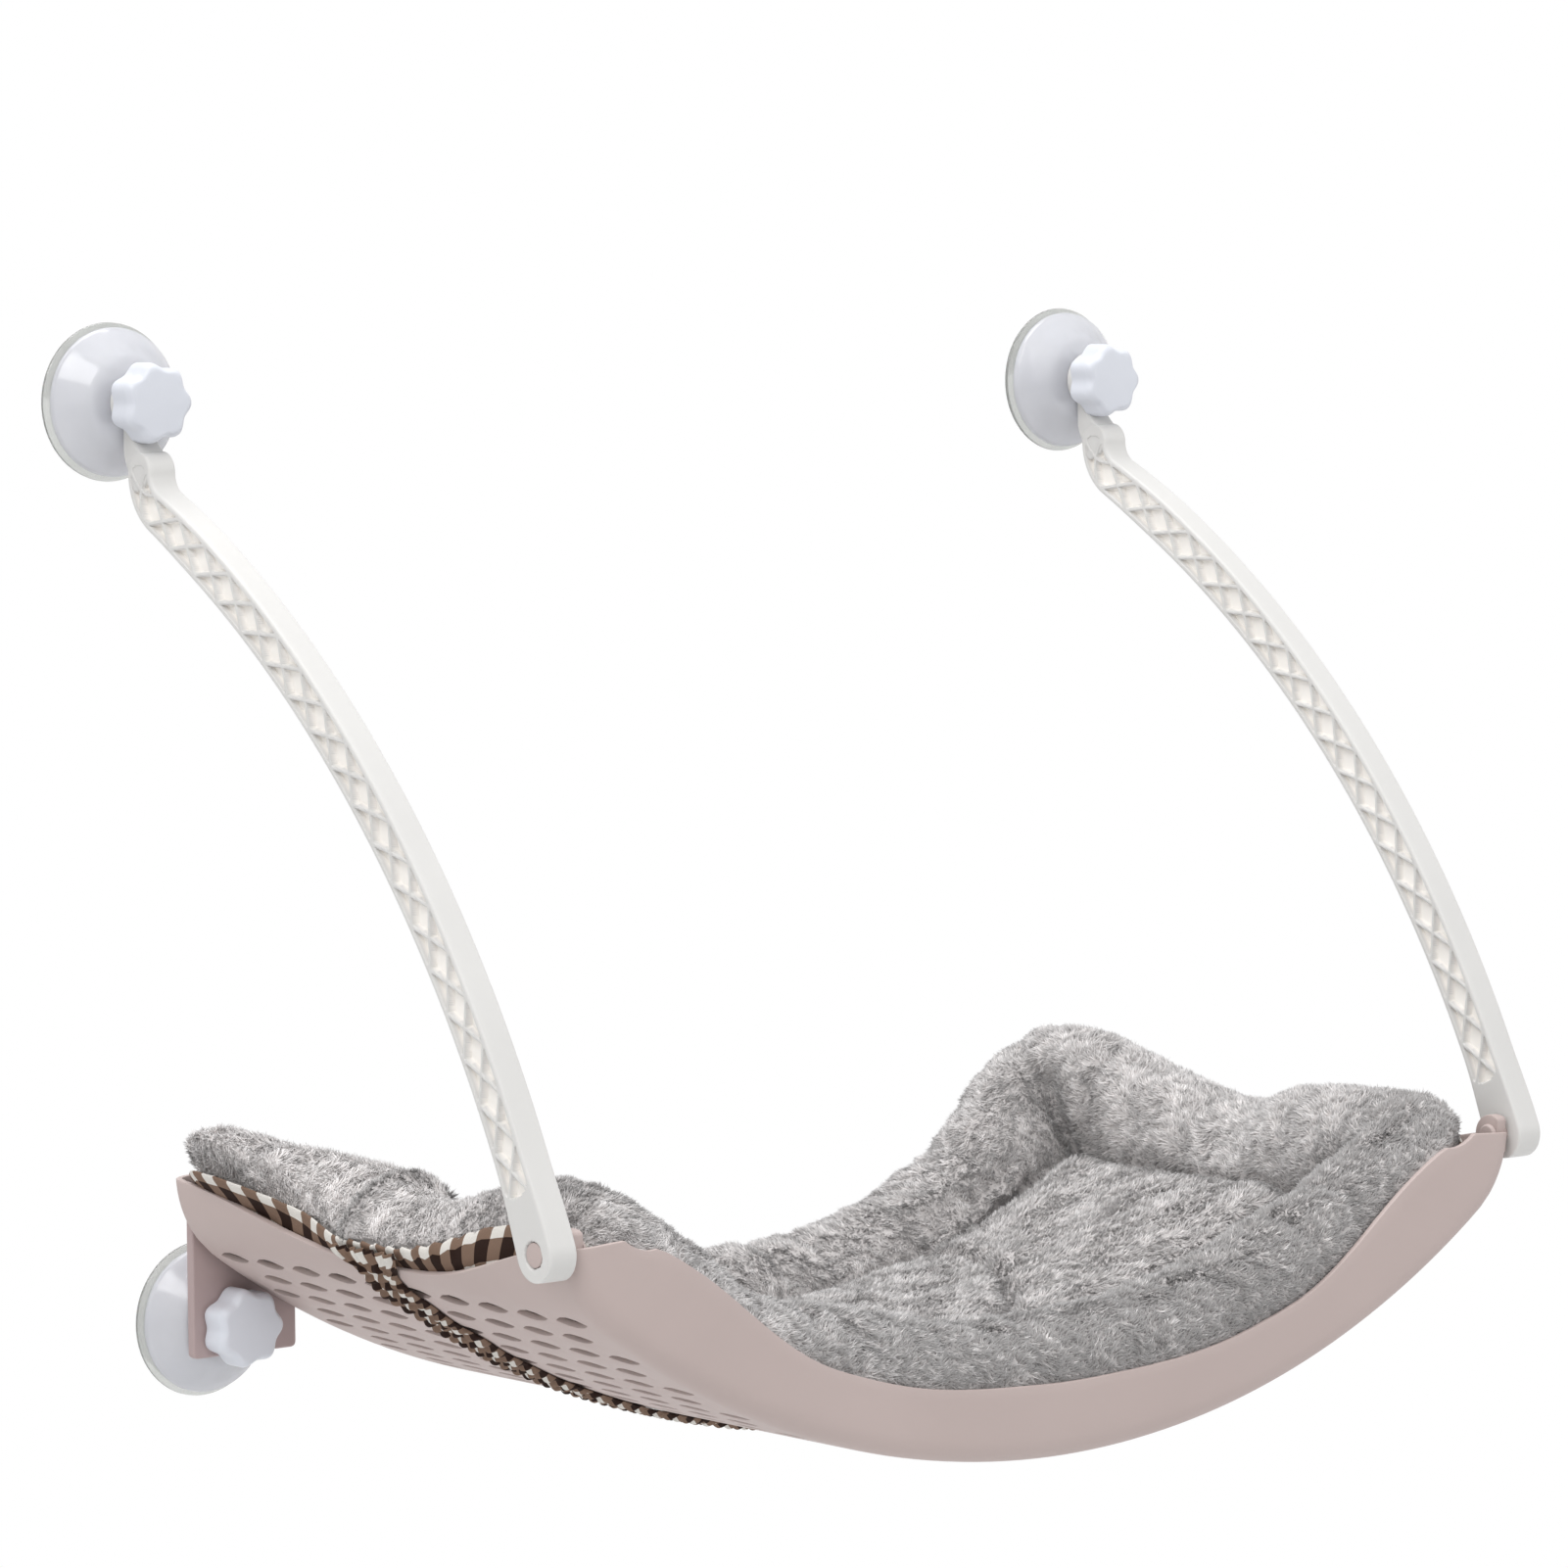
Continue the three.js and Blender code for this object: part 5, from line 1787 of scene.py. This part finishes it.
@dataclass
class Cushion:
    """The plush bolster and pad, the gingham cloth under them, and the strap."""

    form: CushionForm
    pile: Pile
    shrink: float = 2.5
    samples: int = 7
    folds: int = 46
    strap_rise: float = 10.0
    strap_half: float = 14.5
    strap_fan: float = 9.0
    strap_gather: float = 5.8
    cloth_gather: float = 9.5
    pad_edge: float = 31.0
    pad_dome: float = 15.0
    pad_fold: float = 7.0
    cloth_flat: tuple[float, float] = (0.39, 0.70)
    strap_flat: tuple[float, float] = (0.045, 0.70)
    cloth_thickness: float = 0.9
    strap_thickness: float = 0.5

    def bolster_coat(self) -> Coat:
        """The bolster's surface: a smooth closed section carried round the rounded rectangle.

        The section's corners are shares of the bolster's half width and height. Its crown
        rises and dips with the place, corner tucks pull it down and in, and long soft waves and
        short creases near the tucks move it along its own normal.

        Returns:
            The surface, with pile thickest on top, painted shade in its folds and tucks, and brushed along the path.
        """
        form = self.form
        place, out, along = form.path()
        corners = np.array([
            (-0.62, 0.0), (0.28, 0.0), (0.6, 0.06), (0.84, 0.22), (0.9, 0.44), (1.02, 0.50), (1.0, 0.72),
            (0.72, 0.92), (0.28, 1.0), (-0.2, 0.97), (-0.66, 0.8), (-0.96, 0.5), (-0.92, 0.16)])
        wide, high = catmull_rom(corners, self.samples).T
        share = np.clip(high, 0.0, None)
        seam = form.seam(place)[:, None]
        part = (share - form.long_seam) / (1.0 - form.long_seam)
        above = mix(seam, np.ones_like(seam), np.clip(part, 0.0, None))
        moved = np.where(share < form.long_seam, share * seam / form.long_seam, above)
        level = mix(share, moved, smoothstep(wide, -0.1, 0.3))
        plush = smoothstep(share, 0.40, 0.52)
        inner = smoothstep(-wide, -0.2, 0.6)
        tuck = form.bell(place, 11.0)[:, None]
        short_folds = self.creases(along)[:, None] * plush
        lean = form.flare(place)[:, None] * smoothstep(share, 0.42, 0.72) * smoothstep(wide, -0.7, 0.6)
        height = level * (form.bolster_height - self.shrink)
        height = height + form.crown(place)[:, None] * smoothstep(share, 0.44, 1.0)
        h = form.foot + (height - tuck * plush * (1.0 + 15.0 * inner) - short_folds)
        across = wide * (form.bolster_half - self.shrink * 0.8)
        pull = across * np.where(wide > 0.0, form.stretch(out)[:, None], 1.0) + tuck * inner * 6.0
        s, y = self.moved_out(place, out, pull, lean)
        flat = form.tray.floor_point(s, y, h)
        soft = 2.2 * waves(flat, 85.0, 21) + 1.3 * waves(flat, 38.0, 22) + 0.6 * waves(flat, 13.0, 24)
        run = smoothstep(s, 105.0, 150.0) * smoothstep(-s, -235.0, -200.0) * (y > 60.0) * (wide < 0.2)
        folds = [run * np.exp(-(((share - at - (s - 170.0) * lean_by) / 0.05) ** 2))
                 for at, lean_by in ((0.62, 0.0012), (0.86, -0.0015))]
        end_fold = smoothstep(-s, 225.0, 245.0) * np.exp(-(((y - 18.0) / 7.0) ** 2)) * (wide > -0.4)
        crease = (1.6 * waves(flat, 15.0, 23) * np.clip(tuck * 2.0, 0.0, 1.0)
                  - 4.5 * (folds[0] + 0.7 * folds[1]) - 6.0 * end_fold)
        lift = (soft * (0.8 - 0.6 * smoothstep(wide, 0.5, 0.95)) + crease) * plush
        down, over = (np.roll(flat, -1, axis=k) - np.roll(flat, 1, axis=k) for k in (0, 1))
        surface = flat + unit(np.cross(over, down)) * lift[..., None]
        over_rim = smoothstep(h - form.tray.wall_top(s), -3.0, 0.5)
        long_side = smoothstep(np.abs(y), form.half_depth - 9.0, form.half_depth - 5.0)
        top = smoothstep(share, 0.44, 0.52) * mix(1.0, over_rim, long_side)
        sideways = stacked(-out[:, 1], out[:, 0], 0.25)[:, None, :]
        outward = stacked(out[:, 0], out[:, 1], -0.3)[:, None, :]
        sign = (1.3 * smoothstep(wide, -0.7, 0.5) - 0.5)[None, :, None]
        flow = mix(outward * sign + 0.5 * sideways, sideways, smoothstep(wide, 0.45, 0.8)[None, :, None])
        # Painted shade: low on the inner side by the pad, in the corner tucks, in the short folds, in the two long
        # folds and in the end fold.
        shade = (0.5 * smoothstep(-wide, 0.5, 0.9) * smoothstep(-share, -0.75, -0.4)
                 + 0.6 * inner * form.bell(place, 24.0)[:, None] + 0.1 * short_folds
                 + 0.5 * (folds[0] + folds[1]) + 0.9 * end_fold)
        return Coat(surface, top * (1.0 - 0.55 * smoothstep(-wide, 0.85, 1.0)), shade, flow)

    @staticmethod
    def moved_out(place: Array, out: Array, reach: Array, lean: Array) -> tuple[Array, Array]:
        """Moves the path's points outwards by a reach, and towards the nearer end by a lean."""
        s = place[:, :1] + reach * out[:, :1] + lean * np.sign(place[:, :1])
        return s, place[:, 1:] + reach * out[:, 1:]

    def spine(self, place: Array, half: float) -> Array:
        """The nearest points to the path on a line along the cushion's middle, one to a row."""
        return np.stack([np.clip(place[:, 0], -half, half), np.zeros(len(place))], axis=-1)[:, None, :]

    def creases(self, along: Array) -> Array:
        """Depth of the short folds across the bolster: narrow bells at seeded places along it.

        Args:
            along: Lengths along the path.

        Returns:
            The depth at each.
        """
        rng = np.random.default_rng(61)
        total = along[-1] + along[1]
        centre = (np.arange(self.folds) + rng.uniform(0.2, 0.8, self.folds)) * total / self.folds
        width = rng.uniform(3.0, 6.0, self.folds)
        depth = rng.uniform(0.6, 3.0, self.folds)
        return (depth * np.exp(-(((along[:, None] - centre) / width) ** 2))).sum(axis=1)

    def core(self, skin: Skin, part: str, weld: float, finishes: Finishes) -> bpy.types.Object:
        """Builds the body of the bolster or the pad, which the pile stands on.

        Args:
            skin: Its closed skin.
            part: Which of the two it is.
            weld: Points nearer than this, in millimetres, are merged.
            finishes: The materials.

        Returns:
            The piece.
        """
        body = skin.piece(f"plush_{part}", weld=weld, crease=None)
        for name, value in (("rise", 0.4), ("tone", 0.5)):
            give_values(body, name, np.full(len(body.data.vertices), value))
        return dress(body, finishes.plush, "plush_fabric", "tray", f"cushion_{part}")

    def furred(self, part: str, coat: Coat, patches: dict[str, Array], seed: int, finishes: Finishes) -> None:
        """Grows the pile of the bolster or the pad, in patches so that no piece grows too large.

        Args:
            part: Which of the two it is.
            coat: The surface and how its pile stands.
            patches: Which grid points each patch covers.
            seed: The first patch's seed. Each other one's is a hundred more than the last.
            finishes: The materials.
        """
        for number, (label, keep) in enumerate(patches.items()):
            fur = self.pile.grow(f"plush_{part}_pile_{label}", coat, keep, seed + 100 * number)
            dress(fur, finishes.plush, "plush_fabric", "tray", f"cushion_{part}")

    def bolster(self, finishes: Finishes) -> None:
        """Builds the bolster and its pile.

        Args:
            finishes: The materials.
        """
        coat = self.bolster_coat()
        body = self.core(Skin.grid(coat.surface, True, True), "bolster", 0.01, finishes)
        coat = coat.outward()
        across, depth = (coat.surface[..., k].mean(axis=1, keepdims=True) for k in (0, 1))
        front, right = depth < self.form.tray.middle, across > 0.0
        patches = {"front_left": front & ~right, "front_right": front & right,
                   "back_left": ~front & ~right, "back_right": ~front & right}
        self.furred("bolster", coat, patches, 100, finishes)

    def pad_coat(self) -> Coat:
        """The pad's top and sides: rings that shrink from its edge to a spine along its middle.

        The height falls from the middle by the fourth power of the ring's size, then rolls off
        in a quarter circle at the edge. Cross folds are narrow dips across the pad.

        Returns:
            The surface, with pile on its top, and painted shade at its edge and in its folds.
        """
        form = self.form
        place, out, _ = form.path()
        edge = place - out * (form.bolster_half * 0.96 - 1.5)
        spine = self.spine(place, form.half_length - form.half_depth - 10.0)
        bend = np.sin(np.linspace(0.12, 1.0, 10) * math.pi / 2)
        ring = np.concatenate([np.linspace(0.0, 0.86, 30), 0.86 + 0.14 * bend])
        s, y = np.moveaxis(mix(spine, edge[:, None, :], ring[None, :, None]), -1, 0)
        roll = np.sqrt(np.clip(1.0 - (np.clip(ring - 0.84, 0.0, None) / 0.16) ** 2, 0.0, 1.0))
        top = (self.pad_edge - self.shrink + self.pad_dome * (1.0 - ring**4)) * (0.1 + 0.9 * roll)
        folds = (np.exp(-(((s - 98.0 - 0.6 * y + 0.0045 * y * y) / 5.0) ** 2)) * 1.2
                 + np.exp(-(((s - 10.0 + 0.12 * y) / 8.0) ** 2)) * 0.4
                 + np.exp(-(((s + 95.0 + 0.05 * y) / 10.0) ** 2)) * 0.6)
        surface = form.tray.floor_point(s, y, form.foot + top - self.pad_fold * folds * (1.0 - ring**6))
        down, over = np.gradient(surface, axis=0), np.gradient(surface, axis=1)
        normal = unit(np.cross(over, down))
        upward = np.where(normal[..., 2:3] < 0.0, -normal, normal)
        soft = 1.9 * waves(surface, 60.0, 41) + 1.1 * waves(surface, 26.0, 42)
        surface = surface + upward * (soft * (1.0 - 0.8 * ring**8))[..., None]
        weight = np.broadcast_to((ring < 0.96) * smoothstep(ring, -0.001, 0.02), s.shape)
        # Painted shade at the pad's edge, in the valley by the bolster, and in its cross folds.
        shade = 0.6 * smoothstep(ring, 0.76, 0.97) + 0.35 * np.clip(folds, 0.0, 1.0)
        return Coat(surface, weight, shade, np.broadcast_to(np.array([0.35, -1.0, 0.1]), surface.shape))

    def pad(self, finishes: Finishes) -> None:
        """Builds the pad, its flat underside and its pile.

        Args:
            finishes: The materials.
        """
        coat = self.pad_coat()
        place, out, _ = self.form.path()
        edge = place - out * (self.form.bolster_half * 0.96 + 2.0)
        under = mix(self.spine(place, 150.0), edge[:, None, :], np.linspace(1.0, 0.0, 6)[None, :, None])
        bottom = self.form.tray.floor_point(under[..., 0], under[..., 1], self.form.foot)
        body = self.core(Skin.grid(np.concatenate([coat.surface, bottom], axis=1), True), "pad", 0.05, finishes)
        coat = coat.outward()
        right = coat.surface[..., 0] > 0.0
        self.furred("pad", coat, {"left": ~right, "right": right}, 500, finishes)

    def cloth(self, finishes: Finishes) -> None:
        """Builds the gingham cloth: under the pad, round under the bolster and up to its seam.

        Each round-the-path line starts on a spine along the middle, runs out under the bolster
        and up its outer side, a little outside the bolster's own section. Shallow gathers near
        the strap and the corners move it in and out.

        Args:
            finishes: The materials.
        """
        form = self.form
        place, out, along = form.path()
        corners = np.array([(-0.62, 0.0), (0.0, 0.0), (0.3, 0.0), (0.6, 0.06), (0.8, 0.18), (0.88, 0.32),
                            (0.92, 0.44), (0.95, 0.52)])
        fine, knots = np.linspace(0.0, 1.0, 22), np.linspace(0.0, 1.0, len(corners))
        across = np.interp(fine, knots, corners[:, 0]) * form.bolster_half
        seam = form.seam(place)[:, None]
        up = np.interp(fine, knots, corners[:, 1]) * form.bolster_height * seam / form.long_seam
        wall = smoothstep(fine, 0.45, 0.8)
        gathers = self.gathers(place)
        gather = np.sin(along * 2.0 * math.pi / self.cloth_gather)[:, None] * gathers[:, None] * wall
        bulge = 1.6 * np.sin(np.clip((fine - 0.5) * 2.0, 0.0, 1.0) * math.pi)
        wide = np.where(across > 0.0, form.stretch(out)[:, None], 1.0)
        lean = 0.7 * form.flare(place)[:, None] * smoothstep(fine, 0.7, 1.0)
        walls = self.moved_out(place, out, across * wide + bulge + gather * 1.5 + 0.6 * wall, lean)
        shares = np.linspace(0.0, 1.0, 9)[:-1]
        start = (place + out * across[0])[:, None, :]
        inner = mix(self.spine(place, form.half_length - form.half_depth), start, shares[None, :, None])
        s, y = (np.concatenate([inner[..., k], walls[k]], axis=1) for k in (0, 1))
        lift = np.concatenate([np.zeros((len(up), len(shares))), up], axis=1)
        surface = form.tray.floor_point(s, y, form.cloth_foot + self.cloth_thickness + lift)
        pieces = np.linalg.norm(np.diff(surface[:, -4], axis=0, append=surface[:1, -4]), axis=1)
        hem = np.append(0.0, np.cumsum(pieces * (1.0 + 0.45 * gathers)))
        pair = 2.0 * Gingham.check
        hem = hem * round(hem[-1] * MM / pair) * pair / hem[-1]
        step = np.linalg.norm(np.diff(surface[:, len(shares):], axis=1), axis=2)
        fall = np.cumsum(step[:, ::-1], axis=1)[:, ::-1]
        drop = np.concatenate([fall, np.zeros((len(fall), 1))], axis=1) * MM + 0.45 * Gingham.check
        surface, s, y, drop = (np.concatenate([grid, grid[:1]]) for grid in (surface, s, y, drop))
        body = Skin.grid(surface).piece("gingham_base", weld=0.0, crease=None)
        flat = s[:, : len(shares)] * MM, y[:, : len(shares)] * MM
        u = np.concatenate([flat[0], np.broadcast_to(hem[:, None], drop.shape)], axis=1)
        self.lay_uv(body, u, np.concatenate([flat[1], drop], axis=1))
        thicken(body, self.cloth_thickness)
        dress(body, finishes.gingham, "gingham_cloth", "tray", "cushion_cloth_base")

    def gathers(self, place: Array) -> Array:
        """How strongly the cloth is gathered: most beside the strap, some at the corners.

        Args:
            place: Points of the centre line.

        Returns:
            The strength at each point, 0 to 1.
        """
        along = np.abs(place[:, 0]) / self.form.half_length
        across = place[:, 1] / self.form.half_depth
        strap = smoothstep(along, 0.8, 0.88) * (1.0 - smoothstep(np.abs(across), 0.1, 0.6))
        corner = smoothstep(along, 0.6, 0.9) * smoothstep(np.abs(across), 0.5, 0.9)
        return np.clip(strap + 0.5 * corner + 0.15, 0.0, 1.0)

    @staticmethod
    def lay_uv(piece: bpy.types.Object, u: Array, v: Array) -> None:
        """Lays a grid of places in metres on a piece's UV map, one for each of its points.

        Args:
            piece: The piece.
            u: The places' first coordinate.
            v: Their second one.
        """
        flat = np.stack([u.reshape(-1), v.reshape(-1)], axis=-1).astype(np.float32)
        layer = piece.data.uv_layers.new(name="cloth")
        corner = np.empty(len(piece.data.loops), np.int32)
        piece.data.loops.foreach_get("vertex_index", corner)
        layer.data.foreach_set("uv", flat[corner].reshape(-1))

    def strap(self, finishes: Finishes) -> None:
        """Builds the elastic strap: a gathered band under the tray, from rim to rim.

        Across its width it stands in three ropes, each the arch of a sine whose height and place
        wave along it. Near each rim it fans out into finer, deeper pleats.

        Args:
            finishes: The materials.
        """
        tray = self.form.tray
        rim = float(tray.arc_at(tray.rim_height))
        s = np.linspace(-rim - self.strap_rise, rim + self.strap_rise, 1080)[:, None]
        w = np.linspace(-1.0, 1.0, 37)[None, :]
        fan = smoothstep(np.abs(s), rim - 6.0, rim + self.strap_rise)
        turn = 1.5 * (w + 1.0)
        rope = np.minimum(np.floor(turn), 2.0)
        beat = np.sin(s * 2.0 * math.pi / self.strap_gather + 2.4 * rope + 1.6 * np.sin(s / 11.0 + rope))
        arch = np.abs(np.sin(math.pi * turn)) ** 0.7 * (2.1 + 1.0 * beat)
        pleats = 1.2 + 1.5 * (1.0 - np.cos(7.0 * math.pi * w + 0.8 * np.sin(s / 3.0)))
        off = -(0.5 + mix(arch, pleats, fan))
        width = self.strap_half + 0.8 * np.sin(s * 2.0 * math.pi / 31.0) + self.strap_fan * fan
        y = tray.middle + w * width + 1.3 * np.sin(s / 17.0) + 0.7 * np.sin(s / 6.0 + 2.0 * rope)
        s, w = np.broadcast_to(s, y.shape), np.broadcast_to(w, y.shape)
        x, z = tray.section(s, off)
        body = Skin.grid(stacked(x, y, z)).piece("gathered_strap", weld=0.0, crease=None)
        self.lay_uv(body, s * 1.8 * MM, w * 24.0 * MM)
        thicken(body, self.strap_thickness)
        dress(body, finishes.gingham, "gingham_cloth", "tray", "elastic_strap")

    def build(self, finishes: Finishes) -> None:
        """Builds every soft piece.

        Args:
            finishes: The materials.
        """
        self.cloth(finishes)
        self.bolster(finishes)
        self.pad(finishes)
        self.strap(finishes)


@dataclass(frozen=True)
class Studio:
    """The camera, the lamps, the floor and the white surround."""

    place: Vector = Vector((-1.9714, -2.5331, 0.4858))
    yaw: float = 0.6869
    pitch: float = 0.0787
    roll: float = -0.008
    lens: float = 153.24
    sensor: float = 36.0
    floor_z: float = -0.9

    def camera(self) -> None:
        """Sets the camera where the photograph was taken from: turned, tipped, then rolled."""
        data = bpy.data.cameras.new("camera")
        data.lens = self.lens
        data.sensor_width = self.sensor
        data.sensor_fit = "HORIZONTAL"
        data.clip_end = 60.0
        camera = bpy.data.objects.new("camera", data)
        forward = Vector((math.sin(self.yaw) * math.cos(self.pitch), math.cos(self.yaw) * math.cos(self.pitch),
                          -math.sin(self.pitch)))
        level = Vector((math.cos(self.yaw), -math.sin(self.yaw), 0.0))
        upright = level.cross(forward)
        right = math.cos(self.roll) * level + math.sin(self.roll) * upright
        up = -math.sin(self.roll) * level + math.cos(self.roll) * upright
        turn = Matrix((right, up, -forward)).transposed()
        camera.matrix_world = Matrix.Translation(self.place) @ turn.to_4x4()
        bpy.context.scene.collection.objects.link(camera)
        bpy.context.scene.camera = camera

    def lamp(self, name: str, place: Vector, target: Vector, size: float, power: float, tint: Colour) -> None:
        """Hangs one square area lamp.

        Args:
            name: The lamp's name.
            place: Where it hangs.
            target: What it points at.
            size: The length of its side, in metres.
            power: Its power, in watts.
            tint: Its colour.
        """
        data = bpy.data.lights.new(name, "AREA")
        data.size = size
        data.energy = power
        data.color = tint
        lamp = bpy.data.objects.new(name, data)
        lamp.location = place
        lamp.rotation_euler = (target - place).to_track_quat("-Z", "Y").to_euler()
        bpy.context.scene.collection.objects.link(lamp)

    def surround(self) -> None:
        """Makes the world: white to the camera, in gloss and through clear parts, soft grey as light."""
        world = bpy.data.worlds.new("studio")
        world.use_nodes = True
        world.node_tree.nodes.clear()
        shader = Shader(world.node_tree)
        path = shader.add("LightPath")
        seen = shader.math("MAXIMUM", path.outputs["Is Camera Ray"],
                           shader.math("MAXIMUM", path.outputs["Is Glossy Ray"], path.outputs["Is Transmission Ray"]))
        light = shader.add("Background", {"Color": (1.0, 1.0, 1.0, 1.0), "Strength": 0.78})
        white = shader.add("Background", {"Color": (1.0, 1.0, 1.0, 1.0), "Strength": 1.0})
        both = shader.add("MixShader", {0: seen, 1: light.outputs[0], 2: white.outputs[0]})
        shader.add("OutputWorld", {"Surface": both.outputs[0]})
        bpy.context.scene.world = world

    def floor(self) -> None:
        """Lays the floor: plain white to the camera, and a pale grey that bounces light."""
        side = 30.0
        points = np.array([(x * side, y * side, self.floor_z) for x, y in ((-1, -1), (1, -1), (1, 1), (-1, 1))])
        floor = Skin(points / MM, [np.array([[0, 1, 2, 3]])]).piece("pale_floor", weld=0.0, outward=False)
        material, shader, principled = started("pale floor")
        grain = shader.noise(shader.place(), 3.0)
        tone = shader.ramp(grain, (0.3, (0.80, 0.80, 0.80)), (0.7, (0.83, 0.83, 0.83)))
        shader.feed(principled, {"Base Color": tone, "Roughness": 0.9})
        camera = shader.add("LightPath").outputs["Is Camera Ray"]
        glow = shader.add("Emission", {"Color": (1.0, 1.0, 1.0, 1.0), "Strength": 1.0}).outputs[0]
        mixed = shader.add("MixShader", {0: camera, 1: principled.outputs[0], 2: glow}).outputs[0]
        shader.feed(material.node_tree.nodes["Material Output"], {"Surface": mixed})
        floor.data.materials.append(material)

    def build(self) -> None:
        """Sets up everything round the hammock."""
        self.camera()
        middle = Vector((0.0, -0.18, 0.1))
        self.lamp("key", Vector((-1.9, -1.3, 2.3)), middle, 1.5, 31.0, (1.0, 0.995, 0.99))
        self.lamp("fill", Vector((1.9, -2.2, 0.9)), middle, 1.6, 8.0, (0.98, 0.99, 1.0))
        self.lamp("top", Vector((-0.1, 0.3, 2.4)), middle, 1.3, 24.0, (1.0, 1.0, 1.0))
        self.surround()
        self.floor()
        bpy.context.scene.view_settings.view_transform = "Standard"


def main() -> None:
    """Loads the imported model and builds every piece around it."""
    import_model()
    Studio().build()
    finishes = Finishes.build()
    form = TrayForm.from_frame()
    Tray(form).build(finishes)
    for side in Side:
        arm_low, arm_high = box_mm(f"{side.word}_arm")
        pin_low, pin_high = box_mm(f"{side.word}_pivot_pin")
        _, y, z = (float(v) for v in (pin_low + pin_high) / 2.0)
        Arm(side, abs(arm_low[0] + arm_high[0]) / 2.0, y, z).build(finishes)
        inner, outer = sorted(abs(float(corner[0])) for corner in (pin_low, pin_high))
        PivotPin(side, inner, outer, y, z).build(finishes)
        Bracket(side, *box_mm(f"{side.word}_wall_bracket")).build(finishes)
        for level in Level:
            low, high = box_mm(f"{level.value}_{side.word}_cup_membrane")
            Cup(level, side, float(low[0] + high[0]) / 2.0, float(low[2] + high[2]) / 2.0).build(finishes)
    Cushion(CushionForm(form), Pile()).build(finishes)


if __name__ == "__main__":
    main()
